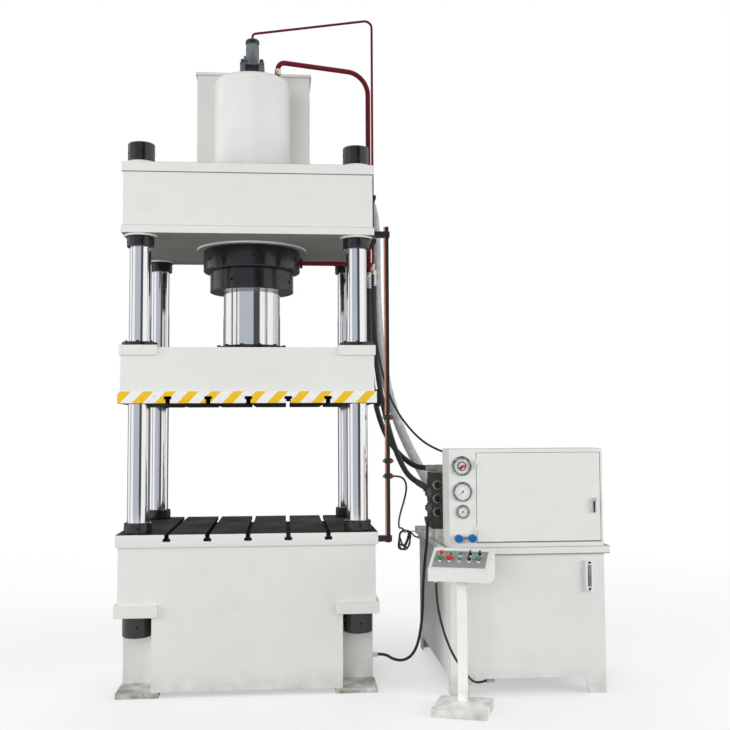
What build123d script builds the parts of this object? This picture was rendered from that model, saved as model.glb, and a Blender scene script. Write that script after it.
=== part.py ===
from build123d import *
import math
import os

# Four-column hydraulic press with its oil tank, valve cabinet and control pedestal.
# Millimetres. X runs to the right, Y to the back, Z up. The origin is on the floor,
# in the middle of the four foundation bolt holes of the press.

os.makedirs("parts", exist_ok=True)

# Clearances
running_gap = 0.05
assembly_gap = 0.1

# Columns and their nuts
column_spacing_x = 1326
column_spacing_y = 960
column_diameter = 130
top_nut_diameter = 164
top_nut_height = 120
base_nut_diameter = 174
base_nut_height = 125
lock_ring_diameter = 165
lock_ring_height = 65
column_end = 4

# Table and base, as wide as the columns need
table_width = column_spacing_x + 234
table_depth = column_spacing_y + 220
table_height = 950
table_thickness = 75
base_width = column_spacing_x + 204
base_depth = column_spacing_y + 200
base_wall = 25
base_rib = 20
base_rib_spacing = 640
foot_thickness = 30
foot_width = 250
foot_depth = 250
foot_proud_x = 7
foot_proud_y = 10
recess_width = 200
recess_depth = 230
boss_width = 254
boss_depth = 262
boss_proud = 20
boss_thickness = 72
boss_height = 466
foundation_spacing_x = base_width - 160
foundation_spacing_y = base_depth - 180
foundation_hole = 28
sleeve_wall = 8
base_gland_y = -330
base_gland_z = 165
base_gland_radius = 14
base_gland_length = 30

# T-slots of the table and of the slide
slot_count = 5
slot_pitch = 240
slot_neck = 26
slot_neck_depth = 24
slot_foot = 44
slot_foot_depth = 18

# Crown
crown_width = column_spacing_x + 210
crown_depth = column_spacing_y + 200
crown_height = 2762
crown_rise = 436
crown_top_plate = 58
crown_bottom_plate = 46
crown_inset = 9
column_pad_diameter = 196
pad_thickness = 12
cylinder_pad_diameter = 722

# Main cylinder, ram and gland
cylinder_diameter = 510
cylinder_neck = 490
cylinder_bore = 420
cylinder_rise = 707
cylinder_head = 120
cylinder_shoulder = 26
filling_port = 90
lock_nut_diameter = 640
lock_nut_height = 140
gland_diameter = 552
gland_height = 135
gland_spigot = 80
packing_depth = 12
packing_height = 60
wiper_height = 12
ram_diameter = 375
piston_height = 120
piston_ring_height = 12
piston_ring_depth = 8
ram_groove_depth = 15
ram_seat_depth = 60

# Slide, at the height where it is shown
slide_gap_to_crown = 1034
slide_height = crown_height - slide_gap_to_crown
slide_up_travel = 340
slide_plate_width = column_spacing_x + 228
slide_plate_depth = column_spacing_y + 220
slide_plate_thickness = 72
slide_width = column_spacing_x + 200
slide_depth = column_spacing_y + 196
slide_body_height = 267
slide_pad_width = 226
slide_pad_depth = 230
slide_pad_height = 61
slide_pad_proud = 13
slide_pad_proud_x = 8
slide_pad_proud_y = 10
bush_wall = 20
bush_cover_diameter = 214
bush_cover_height = 22
ram_flange_diameter = 478
ram_flange_height = 30
ram_flange_split = 1
striker_width = 80
striker_plate = 12
striker_reach = 34
striker_height = 108
striker_y = 30 - column_spacing_y / 2

# Heights that follow from these
base_top = table_height - table_thickness
boss_top = boss_height + boss_thickness
crown_top = crown_height + crown_rise
pad_bottom = crown_height - pad_thickness
pad_top = crown_top + pad_thickness
cylinder_end = pad_bottom - lock_nut_height
cylinder_top = crown_top + cylinder_rise
gland_bottom = cylinder_end - gland_height
slide_plate_top = slide_height + slide_plate_thickness
slide_body_top = slide_plate_top + slide_body_height
slide_pad_top = slide_body_top + slide_pad_proud
piston_stop = 10
piston_top = cylinder_top - cylinder_head - piston_stop - slide_up_travel
column_bottom = boss_height - base_nut_height + column_end
column_top = pad_top + top_nut_height - column_end
column_bore = column_diameter / 2 + assembly_gap


def column_places():
    return GridLocations(column_spacing_x, column_spacing_y, 2, 2)


def disc(height, amount, radius, mode=Mode.ADD):
    # round plate about the press axis, from one height upwards
    with BuildSketch(Plane.XY.offset(height)) as face:
        Circle(radius)
    extrude(face.sketch, amount=amount, mode=mode)


def block(height, amount, width, depth, mode=Mode.ADD):
    # rectangular plate about the press axis, from one height upwards
    with BuildSketch(Plane.XY.offset(height)) as face:
        Rectangle(width, depth)
    extrude(face.sketch, amount=amount, mode=mode)


def column_holes(height, amount, radius):
    with BuildSketch(Plane.XY.offset(height)) as face:
        with column_places():
            Circle(radius)
    extrude(face.sketch, amount=amount, mode=Mode.SUBTRACT)


def finish(piece, name):
    piece.part.label = name
    export_step(piece.part, f"parts/{name}.step")


# Base: box of plates with stepped-in corners and inner ribs, open below
foot_x = base_width / 2 + foot_proud_x - foot_width / 2
foot_y = base_depth / 2 + foot_proud_y - foot_depth / 2
boss_x = base_width / 2 + boss_proud - boss_width / 2
boss_y = base_depth / 2 + boss_proud - boss_depth / 2
sleeve_radius = column_diameter / 2 + sleeve_wall

with BuildPart() as base_frame:
    with BuildSketch(Plane.XY.offset(boss_top)):
        Rectangle(base_width, base_depth)
        Rectangle(base_width - 2 * base_wall, base_depth - 2 * base_wall, mode=Mode.SUBTRACT)
    extrude(amount=base_top - boss_top)
    with BuildSketch(Plane.XY.offset(foot_thickness)):
        Rectangle(base_width, base_depth)
        with GridLocations(base_width - recess_width, base_depth - recess_depth, 2, 2):
            Rectangle(recess_width, recess_depth, mode=Mode.SUBTRACT)
        offset(amount=-base_wall, kind=Kind.INTERSECTION, mode=Mode.SUBTRACT)
    extrude(amount=boss_top - foot_thickness)
    with BuildSketch(Plane.XY.offset(foot_thickness)):
        with GridLocations(base_rib_spacing, 1, 2, 1):
            Rectangle(base_rib, base_depth - base_wall)
        Rectangle(base_width - base_wall, base_rib)
    extrude(amount=base_top - foot_thickness)
    # cable gland on the right, and room for the column seats
    with BuildSketch(Plane.YZ.offset(base_width / 2)):
        with Locations((base_gland_y, base_gland_z)):
            Circle(base_gland_radius)
    extrude(amount=base_gland_length)
    with BuildSketch(Plane.XY.offset(boss_height)):
        with GridLocations(2 * boss_x, 2 * boss_y, 2, 2):
            Rectangle(boss_width, boss_depth)
    extrude(amount=boss_thickness, mode=Mode.SUBTRACT)
finish(base_frame, "base_frame")


# Column seats: thick corner plates with a tube round each column up to the table
with BuildPart() as column_seats:
    with BuildSketch(Plane.XY.offset(boss_height)):
        with GridLocations(2 * boss_x, 2 * boss_y, 2, 2):
            Rectangle(boss_width, boss_depth)
    extrude(amount=boss_thickness)
    with BuildSketch(Plane.XY.offset(boss_top)):
        with column_places():
            Circle(sleeve_radius)
    extrude(amount=base_top - boss_top)
    column_holes(boss_height, base_top - boss_height, column_bore)
finish(column_seats, "column_seats")


# Foot plates with the foundation bolt holes
with BuildPart() as foot_plates:
    with BuildSketch(Plane.XY):
        with GridLocations(2 * foot_x, 2 * foot_y, 2, 2):
            Rectangle(foot_width, foot_depth)
        with GridLocations(foundation_spacing_x, foundation_spacing_y, 2, 2):
            Circle(foundation_hole / 2, mode=Mode.SUBTRACT)
    extrude(amount=foot_thickness)
finish(foot_plates, "foot_plates")


# Table: thick machined plate with T-slots from front to back
def t_slots(face_height, direction):
    # direction is 1 where the slots open upwards and -1 where they open downwards
    with BuildSketch(Plane.XZ) as profile:
        with Locations((0, face_height - direction * slot_neck_depth / 2)):
            with GridLocations(slot_pitch, 1, slot_count, 1):
                Rectangle(slot_neck, slot_neck_depth)
        with Locations((0, face_height - direction * (slot_neck_depth + slot_foot_depth / 2))):
            with GridLocations(slot_pitch, 1, slot_count, 1):
                Rectangle(slot_foot, slot_foot_depth)
    extrude(profile.sketch, amount=table_depth, both=True, mode=Mode.SUBTRACT)


with BuildPart() as table_plate:
    block(base_top, table_thickness, table_width, table_depth)
    column_holes(base_top, table_thickness, column_bore)
    t_slots(table_height, 1)
finish(table_plate, "table_plate")


# Columns
with BuildPart() as columns:
    with BuildSketch(Plane.XY.offset(column_bottom)):
        with column_places():
            Circle(column_diameter / 2)
    extrude(amount=column_top - column_bottom)
finish(columns, "columns")


# Column nuts: one under each boss, one on the table, two at the crown
def nut_set(bottom, height, diameter):
    with BuildSketch(Plane.XY.offset(bottom)) as ring:
        with column_places():
            Circle(diameter / 2)
            Circle(column_bore, mode=Mode.SUBTRACT)
    extrude(ring.sketch, amount=height)


with BuildPart() as column_nuts:
    nut_set(boss_height - base_nut_height, base_nut_height, base_nut_diameter)
    nut_set(table_height, lock_ring_height, lock_ring_diameter)
    nut_set(pad_bottom - lock_ring_height, lock_ring_height, lock_ring_diameter)
    nut_set(pad_top, top_nut_height, top_nut_diameter)
finish(column_nuts, "column_nuts")


# Crown: closed welded box, with round pads where nuts and cylinder seat
with BuildPart() as crown:
    block(crown_height, crown_bottom_plate, crown_width, crown_depth)
    block(crown_height, crown_rise, crown_width - 2 * crown_inset, crown_depth - 2 * crown_inset)
    block(crown_top - crown_top_plate, crown_top_plate, crown_width, crown_depth)
    with BuildSketch(Plane.XY.offset(pad_bottom)):
        with column_places():
            Circle(column_pad_diameter / 2)
        Circle(cylinder_pad_diameter / 2)
    extrude(amount=pad_thickness)
    with BuildSketch(Plane.XY.offset(crown_top)):
        with column_places():
            Circle(column_pad_diameter / 2)
    extrude(amount=pad_thickness)
    column_holes(pad_bottom, pad_top - pad_bottom, column_bore)
    disc(pad_bottom, pad_top - pad_bottom, cylinder_neck / 2 + assembly_gap, Mode.SUBTRACT)
finish(crown, "crown")


# Main cylinder: forged barrel that sits on the crown, with a threaded neck below it
pipe_port_x = 172
pipe_port = 34
with BuildPart() as main_cylinder:
    disc(crown_top, cylinder_rise, cylinder_diameter / 2)
    fillet(main_cylinder.faces().sort_by(Axis.Z)[-1].edges(), radius=cylinder_shoulder)
    disc(cylinder_end, crown_top - cylinder_end, cylinder_neck / 2)
    disc(cylinder_end, cylinder_top - cylinder_head - cylinder_end, cylinder_bore / 2, Mode.SUBTRACT)
    disc(cylinder_end, cylinder_top - cylinder_end, filling_port / 2, Mode.SUBTRACT)
    with BuildSketch(Plane.XY.offset(cylinder_top)):
        with Locations((pipe_port_x, 0)):
            Circle(pipe_port / 2 - 4)
    extrude(amount=-cylinder_head, mode=Mode.SUBTRACT)
finish(main_cylinder, "main_cylinder")

with BuildPart() as cylinder_lock_nut:
    disc(cylinder_end, lock_nut_height, lock_nut_diameter / 2)
    chamfer(cylinder_lock_nut.faces().sort_by(Axis.Z)[0].edges(), length=6)
    disc(cylinder_end, lock_nut_height, cylinder_neck / 2 + assembly_gap, Mode.SUBTRACT)
finish(cylinder_lock_nut, "cylinder_lock_nut")


# Gland flange with its spigot in the bore, and the packing and wiper rings inside it
packing_bottom = cylinder_end - packing_height / 2
wiper_bottom = gland_bottom + wiper_height / 2
packing_radius = ram_diameter / 2 + packing_depth
gland_bore = ram_diameter / 2 + 0.4

with BuildPart() as gland_flange:
    disc(gland_bottom, gland_height, gland_diameter / 2)
    chamfer(gland_flange.faces().sort_by(Axis.Z)[0].edges(), length=4)
    disc(cylinder_end, gland_spigot, cylinder_bore / 2 - assembly_gap)
    disc(gland_bottom, gland_height + gland_spigot, gland_bore, Mode.SUBTRACT)
    disc(packing_bottom, packing_height, packing_radius, Mode.SUBTRACT)
    disc(wiper_bottom, wiper_height, packing_radius, Mode.SUBTRACT)
finish(gland_flange, "gland_flange")

with BuildPart() as ram_seals:
    disc(packing_bottom, packing_height, packing_radius - assembly_gap)
    disc(wiper_bottom, wiper_height, packing_radius - assembly_gap)
    disc(gland_bottom, gland_height + gland_spigot, ram_diameter / 2 + running_gap, Mode.SUBTRACT)
finish(ram_seals, "ram_seals")


# Ram: one forging with the piston head, seated in the slide and held by a split flange
def ring_groove(height, amount, outer, inner):
    with BuildSketch(Plane.XY.offset(height)) as ring:
        Circle(outer)
        Circle(inner, mode=Mode.SUBTRACT)
    extrude(ring.sketch, amount=amount, mode=Mode.SUBTRACT)


ram_bottom = slide_body_top - ram_seat_depth
groove_radius = ram_diameter / 2 - ram_groove_depth
piston_radius = cylinder_bore / 2 - running_gap

with BuildPart() as ram:
    disc(ram_bottom, piston_top - ram_bottom, ram_diameter / 2)
    disc(piston_top - piston_height, piston_height, piston_radius)
    for share in (1, 2, 3):
        ring_groove(
            piston_top - share * piston_height / 4 - piston_ring_height / 2,
            piston_ring_height,
            piston_radius,
            piston_radius - piston_ring_depth,
        )
    ring_groove(slide_body_top, ram_flange_height, ram_diameter / 2, groove_radius)
finish(ram, "ram")

with BuildPart() as ram_flange:
    disc(slide_body_top, ram_flange_height - assembly_gap, ram_flange_diameter / 2)
    disc(slide_body_top, ram_flange_height, groove_radius + assembly_gap, Mode.SUBTRACT)
    block(slide_body_top, ram_flange_height, ram_flange_split, ram_flange_diameter, Mode.SUBTRACT)
finish(ram_flange, "ram_flange")


# Slide beam with corner pads, and the T-slotted plate under it
slide_pad_x = slide_width / 2 + slide_pad_proud_x - slide_pad_width / 2
slide_pad_y = slide_depth / 2 + slide_pad_proud_y - slide_pad_depth / 2
bush_radius = column_diameter / 2 + bush_wall

with BuildPart() as slide_beam:
    block(slide_plate_top, slide_body_height, slide_width, slide_depth)
    with BuildSketch(Plane.XY.offset(slide_pad_top - slide_pad_height)):
        with GridLocations(2 * slide_pad_x, 2 * slide_pad_y, 2, 2):
            Rectangle(slide_pad_width, slide_pad_depth)
    extrude(amount=slide_pad_height)
    column_holes(slide_plate_top, slide_pad_top - slide_plate_top, bush_radius + assembly_gap)
    disc(ram_bottom, ram_seat_depth, ram_diameter / 2 + assembly_gap, Mode.SUBTRACT)
finish(slide_beam, "slide_beam")

with BuildPart() as slide_plate:
    block(slide_height, slide_plate_thickness, slide_plate_width, slide_plate_depth)
    column_holes(slide_height, slide_plate_thickness, column_diameter / 2 + 6)
    t_slots(slide_height, -1)
finish(slide_plate, "slide_plate")


def column_ring(piece_height, amount, outer, inner):
    with BuildSketch(Plane.XY.offset(piece_height)) as ring:
        with column_places():
            Circle(outer)
            Circle(inner, mode=Mode.SUBTRACT)
    extrude(ring.sketch, amount=amount)


with BuildPart() as guide_bushes:
    column_ring(
        slide_plate_top,
        slide_pad_top - slide_plate_top,
        bush_radius,
        column_diameter / 2 + running_gap,
    )
finish(guide_bushes, "guide_bushes")

with BuildPart() as bush_covers:
    column_ring(slide_pad_top, bush_cover_height, bush_cover_diameter / 2, column_diameter / 2 + 0.5)
    chamfer(bush_covers.faces().group_by(Axis.Z)[-1].edges(), length=2)
finish(bush_covers, "bush_covers")


# Striker: bracket on the right end of the slide that passes the proximity switches
with BuildPart() as striker:
    with BuildSketch(Plane.XY.offset(slide_height)):
        with Locations((slide_plate_width / 2 + striker_plate / 2, striker_y)):
            Rectangle(striker_plate, striker_width)
    extrude(amount=slide_plate_thickness)
    with BuildSketch(Plane.XY.offset(slide_plate_top - striker_height + 16)):
        with Locations((slide_plate_width / 2 + striker_reach / 2 + 0.5, striker_y)):
            Rectangle(striker_reach - 1, striker_plate)
    extrude(amount=striker_height)
finish(striker, "striker")


# Prefill valve on the cylinder head: flanged block, round body with a side port, cap
valve_block = 166
valve_block_height = 118
valve_flange_height = 44
valve_body_diameter = 88
valve_body_height = 150
valve_cap_diameter = 94
valve_cap_height = 32
valve_screw = 26
valve_screw_pitch = 128

valve_block_top = cylinder_top + valve_block_height
valve_body_top = valve_block_top + valve_body_height
valve_top = valve_body_top + valve_cap_height

with BuildPart() as prefill_valve:
    block(cylinder_top, valve_flange_height, valve_block, valve_block)
    block(cylinder_top, valve_block_height, valve_block - 26, valve_block - 26)
    with BuildSketch(Plane.XY.offset(cylinder_top + valve_flange_height)):
        with GridLocations(valve_screw_pitch, valve_screw_pitch, 2, 2):
            Circle(valve_screw / 2 + 4)
    extrude(amount=valve_block_height - valve_flange_height)
    with BuildSketch(Plane.XY.offset(valve_block_top)):
        with GridLocations(valve_screw_pitch, valve_screw_pitch, 2, 2):
            Circle(valve_screw / 2)
    extrude(amount=valve_screw)
    disc(valve_block_top, valve_body_height, valve_body_diameter / 2)
    disc(valve_body_top, valve_cap_height, valve_cap_diameter / 2)
    chamfer(prefill_valve.faces().sort_by(Axis.Z)[-1].edges(), length=8)
    with BuildSketch(Plane.YZ.offset(-valve_body_diameter / 2 - 14)):
        with Locations((0, valve_block_top + 46)):
            Circle(26)
    extrude(amount=valve_body_diameter / 2)
finish(prefill_valve, "prefill_valve")


# Fill tank behind the cylinder, with a suction stub into the cylinder head
fill_width = 790
fill_depth = 280
fill_height = 866
fill_lid = 20
fill_lid_overhang = 10
fill_sheet = 8
fill_front = 300
fill_y = fill_front + fill_depth / 2
stub_radius = 60
stub_height = crown_top + 600
fill_port_y = fill_front + 50
fill_port_z = crown_top + 182
fill_port_length = 30
fill_hose = 64

with BuildPart() as fill_tank:
    with BuildSketch(Plane.XY.offset(crown_top)):
        with Locations((0, fill_y)):
            Rectangle(fill_width, fill_depth)
    extrude(amount=fill_height)
    with BuildSketch(Plane.XY.offset(crown_top + fill_height)):
        with Locations((0, fill_y)):
            Rectangle(fill_width + 2 * fill_lid_overhang, fill_depth + 2 * fill_lid_overhang)
    extrude(amount=fill_lid)
    with BuildSketch(Plane.XZ.offset(-fill_front)):
        with Locations((0, stub_height)):
            Circle(stub_radius)
    extrude(amount=fill_front)
    disc(crown_top, fill_height, cylinder_diameter / 2 + assembly_gap, Mode.SUBTRACT)
    with BuildSketch(Plane.XY.offset(crown_top + fill_sheet)):
        with Locations((0, fill_y)):
            Rectangle(fill_width - 2 * fill_sheet, fill_depth - 2 * fill_sheet)
    extrude(amount=fill_height - fill_sheet, mode=Mode.SUBTRACT)
    with BuildSketch(Plane.XZ.offset(-fill_front - 2 * fill_sheet)):
        with Locations((0, stub_height)):
            Circle(stub_radius - 10)
    extrude(amount=fill_front, mode=Mode.SUBTRACT)
    with BuildSketch(Plane.YZ.offset(fill_width / 2)):
        with Locations((fill_port_y, fill_port_z)):
            Circle(fill_hose / 2 + 6)
    extrude(amount=fill_port_length)
finish(fill_tank, "fill_tank")


# Steel pipes, bent from drawn tube
def bent_path(points, radii):
    with BuildLine() as path:
        FilletPolyline(*points, radius=radii)
    return path.wire()


def pipe(path, diameter, wall):
    with BuildSketch(Plane(origin=path @ 0, z_dir=path % 0)) as section:
        Circle(diameter / 2)
        Circle(diameter / 2 - wall, mode=Mode.SUBTRACT)
    sweep(section.sketch, path=path)


main_pipe_x = crown_width / 2 + 32
main_pipe_y = 190
main_pipe_rise = cylinder_top + 153
main_pipe_end = crown_height - 152
main_pipe_path = bent_path(
    [
        (pipe_port_x, 0, cylinder_top),
        (pipe_port_x, 0, main_pipe_rise),
        (main_pipe_x, main_pipe_y, main_pipe_rise),
        (main_pipe_x, main_pipe_y, main_pipe_end),
    ],
    [50, 150],
)
pilot_diameter = 16
pilot_x = crown_width / 2 + 44
pilot_rise = valve_top + 44
pilot_corner = valve_top + 163
pilot_end = crown_height - 122
pilot_pipe_path = bent_path(
    [
        (0, 0, valve_top),
        (0, 0, pilot_rise),
        (pilot_x, 0, pilot_corner),
        (pilot_x, 0, pilot_end),
    ],
    [24, 48],
)
rod_diameter = 28
rod_y = 60
rod_height = pad_bottom - 60
rod_start = lock_nut_diameter / 2 + 18
rod_x = crown_width / 2 + 54
rod_end = crown_height - 152
rod_pipe_path = bent_path(
    [(rod_start, rod_y, rod_height), (rod_x, rod_y, rod_height), (rod_x, rod_y, rod_end)],
    [36],
)
port_block = (34, 46, 60)
pipe_wall = 3

with BuildPart() as steel_pipes:
    pipe(main_pipe_path, pipe_port, pipe_wall + 1)
    pipe(pilot_pipe_path, pilot_diameter, pipe_wall - 1)
    pipe(rod_pipe_path, rod_diameter, pipe_wall)
    # square port block on the lock nut
    with BuildSketch(Plane.YZ.offset(rod_start - port_block[0])):
        with Locations((rod_y, rod_height)):
            Rectangle(port_block[1], port_block[2])
    extrude(amount=port_block[0])
    disc(cylinder_end, lock_nut_height, lock_nut_diameter / 2 + assembly_gap, Mode.SUBTRACT)
finish(steel_pipes, "steel_pipes")


# Unions, hose ferrules and the clamps that hold the pipes to the crown
hose_diameter = 36
pilot_hose = 14
ferrule_length = 70
nut_length = 40
pilot_ferrule = 30
union_rise = 62
union_height = 42
ferrule_radius = 21
clamp_x = crown_width / 2
clamp_thickness = 26
clamp_width = 66
clamp_margin = 22
clamp_rise = (62, 360)


def ring_at(x, y, bottom, amount, outer, inner):
    with BuildSketch(Plane.XY.offset(bottom)) as ring:
        with Locations((x, y)):
            Circle(outer)
            if inner > 0:
                Circle(inner, mode=Mode.SUBTRACT)
    extrude(ring.sketch, amount=amount)


with BuildPart() as pipe_fittings:
    ring_at(
        pipe_port_x, 0, cylinder_top + union_rise, union_height, 24, pipe_port / 2 + assembly_gap
    )
    ring_at(main_pipe_x, main_pipe_y, main_pipe_end, nut_length, 25, pipe_port / 2 + assembly_gap)
    ring_at(main_pipe_x, main_pipe_y, main_pipe_end - ferrule_length, ferrule_length, ferrule_radius, 0)
    ring_at(rod_x, rod_y, rod_end, nut_length, 22, rod_diameter / 2 + assembly_gap)
    ring_at(rod_x, rod_y, rod_end - ferrule_length, ferrule_length, ferrule_radius, 0)
    ring_at(pilot_x, 0, pilot_end, nut_length, 13, pilot_diameter / 2 + assembly_gap)
    ring_at(pilot_x, 0, pilot_end - pilot_ferrule, pilot_ferrule, 10, 0)
    # flat clamps on the crown side
    for rise in clamp_rise:
        with BuildSketch(Plane.XY.offset(crown_height + rise)):
            with Locations((clamp_x, -clamp_margin)):
                Rectangle(
                    clamp_width,
                    main_pipe_y + clamp_margin + 48,
                    align=(Align.MIN, Align.MIN),
                )
            with Locations((main_pipe_x, main_pipe_y)):
                Circle(pipe_port / 2 + assembly_gap, mode=Mode.SUBTRACT)
            with Locations((pilot_x, 0)):
                Circle(pilot_diameter / 2 + assembly_gap, mode=Mode.SUBTRACT)
        extrude(amount=clamp_thickness)
finish(pipe_fittings, "pipe_fittings")


# Switch bar beside the right front column, with a copper rod and two brackets
bar_size = 20
bar_x = slide_plate_width / 2 + 80
bar_y = striker_y - 20
rod_size = 12
bar_bottom = base_top - 3
bar_top = crown_height + 74
bracket_height = 36

with BuildPart() as switch_bar:
    with BuildSketch(Plane.XY.offset(bar_bottom)):
        with Locations((bar_x, bar_y)):
            Rectangle(bar_size, bar_size)
        with Locations((bar_x - bar_size / 2 - rod_size / 2 + 1, bar_y)):
            Circle(rod_size / 2)
    extrude(amount=bar_top - bar_bottom)
    with BuildSketch(Plane.XY.offset(base_top + 4)):
        with Locations((table_width / 2, bar_y)):
            Rectangle(bar_x + bar_size / 2 + 8 - table_width / 2, 44, align=(Align.MIN, Align.CENTER))
    extrude(amount=bracket_height)
    with BuildSketch(Plane.XY.offset(crown_height + 6)):
        with Locations((crown_width / 2, bar_y)):
            Rectangle(bar_x + bar_size / 2 + 6 - crown_width / 2, 40, align=(Align.MIN, Align.CENTER))
    extrude(amount=bracket_height)
finish(switch_bar, "switch_bar")

# Proximity switches: threaded barrels in black clamps on the bar
switch_heights = (1278, 1372, 1640)
switch_radius = 9
switch_offset = 19
with BuildPart() as proximity_switches:
    for switch_z in switch_heights:
        with BuildSketch(Plane.XY.offset(switch_z - 15)):
            with Locations((bar_x, bar_y)):
                Rectangle(44, 52)
                Rectangle(bar_size + 2 * assembly_gap, bar_size + 2 * assembly_gap, mode=Mode.SUBTRACT)
            with Locations((bar_x - 22, bar_y)):
                Rectangle(24, 14, mode=Mode.SUBTRACT)
        extrude(amount=30)
        with BuildSketch(Plane.YZ.offset(bar_x - 36)):
            with Locations((bar_y - switch_offset, switch_z)):
                Circle(switch_radius)
        extrude(amount=66)
finish(proximity_switches, "proximity_switches")


# Power unit: oil tank of folded sheet on four legs
tank_distance = 412
tank_left = table_width / 2 + tank_distance
tank_width = 932
tank_front = -731
tank_depth = 1300
tank_floor = 98
tank_rim = 820
tank_sheet = 6
leg_width = 128
leg_foot = 102
leg_depth = 94
leg_sheet = 10
cover_overhang = 33
cover_front = 14
cover_plate = 8
cover_rim = 47
tank_x = tank_left + tank_width / 2
tank_y = tank_front + tank_depth / 2
tank_right = tank_left + tank_width
tank_back = tank_front + tank_depth
cover_top = tank_rim + cover_plate
hook_y = tank_back - 49
hook_width = 12
hook_thickness = 8
coil_x = tank_left - 113
coil_z = tank_rim - 30
coil_width = 100
coil_height = 160
coil_band = 36
coil_thickness = 44
junction_x = tank_left + 248
junction_y = tank_front + 95
junction_box = (50, 50, 40)
junction_gland = 10
console_cable_end = (junction_x - 28, junction_y - 32, tank_floor - 26)
console_cable_axis = (51, 48, 0)
tank_gland_radius = 12
tank_gland_length = 20


def tank_block(bottom, amount, width, depth, mode=Mode.ADD):
    with BuildSketch(Plane.XY.offset(bottom)) as face:
        with Locations((tank_x, tank_y)):
            Rectangle(width, depth)
    extrude(face.sketch, amount=amount, mode=mode)


with BuildPart() as oil_tank:
    tank_block(tank_floor, tank_rim - tank_floor, tank_width, tank_depth)
    tank_block(
        tank_floor + tank_sheet,
        tank_rim - tank_floor,
        tank_width - 2 * tank_sheet,
        tank_depth - 2 * tank_sheet,
        Mode.SUBTRACT,
    )
    # legs are angles: a tapered front or back plate with a straight side plate
    for side in (-1, 1):
        for end in (-1, 1):
            leg_x = tank_x + side * tank_width / 2
            leg_y = tank_y + end * tank_depth / 2
            with BuildSketch(Plane.XZ.offset(-leg_y)):
                with BuildLine():
                    Polyline(
                        (leg_x, 0),
                        (leg_x - side * leg_foot, 0),
                        (leg_x - side * leg_width, tank_floor + tank_sheet),
                        (leg_x, tank_floor + tank_sheet),
                        close=True,
                    )
                make_face()
            extrude(amount=end * leg_sheet)
            with BuildSketch(Plane.XY):
                with Locations((leg_x, leg_y)):
                    Rectangle(
                        leg_sheet,
                        leg_depth,
                        align=(
                            Align.MAX if side > 0 else Align.MIN,
                            Align.MAX if end > 0 else Align.MIN,
                        ),
                    )
            extrude(amount=tank_floor + tank_sheet)
    # junction box under the floor with the gland of the console cable
    with BuildSketch(Plane.XY.offset(tank_floor)):
        with Locations((junction_x, junction_y)):
            Rectangle(junction_box[0], junction_box[1])
    extrude(amount=-junction_box[2])
    with BuildSketch(Plane(origin=console_cable_end, z_dir=console_cable_axis)):
        Circle(junction_gland)
    extrude(amount=junction_box[2])
    # gland on the left side for the coiled cable
    with BuildSketch(Plane.YZ.offset(tank_left)):
        with Locations((hook_y, coil_z)):
            Circle(tank_gland_radius)
    extrude(amount=-tank_gland_length)
finish(oil_tank, "oil_tank")


# Tank cover: tray that carries the cabinet, motor and manifold inside its rim
manifold_inset = 48
manifold_x = tank_left + manifold_inset
manifold_y = -230
manifold_width = 180
manifold_depth = 200
manifold_stand = 107
manifold_bottom = cover_top + manifold_stand
manifold_height = 355
fill_port_inset = 93
fill_port_x = tank_left + fill_port_inset
fill_port_back = 195
fill_port_rise = 50
peg_top = coil_z + coil_height / 2 - coil_band - 1.7
peg_front = hook_y - coil_thickness / 2 - 12
strap_y = hook_y + coil_thickness / 2 + 8

with BuildPart() as tank_cover:
    with BuildSketch(Plane.XY.offset(tank_rim)):
        with Locations((tank_x, tank_y - cover_front / 2)):
            Rectangle(tank_width + 2 * cover_overhang, tank_depth + cover_front)
    extrude(amount=cover_rim)
    with BuildSketch(Plane.XY.offset(cover_top)):
        with Locations((tank_x, tank_y - cover_front / 2)):
            Rectangle(tank_width + 2 * cover_overhang - 8, tank_depth + cover_front - 8)
    extrude(amount=cover_rim, mode=Mode.SUBTRACT)
    # two stands under the manifold
    with BuildSketch(Plane.XY.offset(cover_top)):
        with Locations((manifold_x, manifold_y)):
            with GridLocations(manifold_width - 60, 1, 2, 1):
                Rectangle(20, manifold_depth - 20)
    extrude(amount=manifold_bottom - cover_top)
    # socket for the grey fill hose
    ring_at(fill_port_x, fill_port_back, cover_top, fill_port_rise, fill_hose / 2 + 6, 0)
    # cable hook: strap from the back left corner, peg through the coil, raised tip
    with BuildSketch(Plane.XY.offset(peg_top - hook_thickness)):
        with Locations((coil_x - hook_width / 2, strap_y)):
            Rectangle(
                tank_left - cover_overhang + 3 - coil_x + hook_width / 2,
                hook_width,
                align=(Align.MIN, Align.MIN),
            )
        with Locations((coil_x, peg_front)):
            Rectangle(hook_width, strap_y - peg_front + 1, align=(Align.CENTER, Align.MIN))
    extrude(amount=hook_thickness)
    with BuildSketch(Plane.XY.offset(peg_top - hook_thickness)):
        with Locations((coil_x, peg_front)):
            Rectangle(hook_width, 6, align=(Align.CENTER, Align.MIN))
    extrude(amount=18)
finish(tank_cover, "tank_cover")


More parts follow.
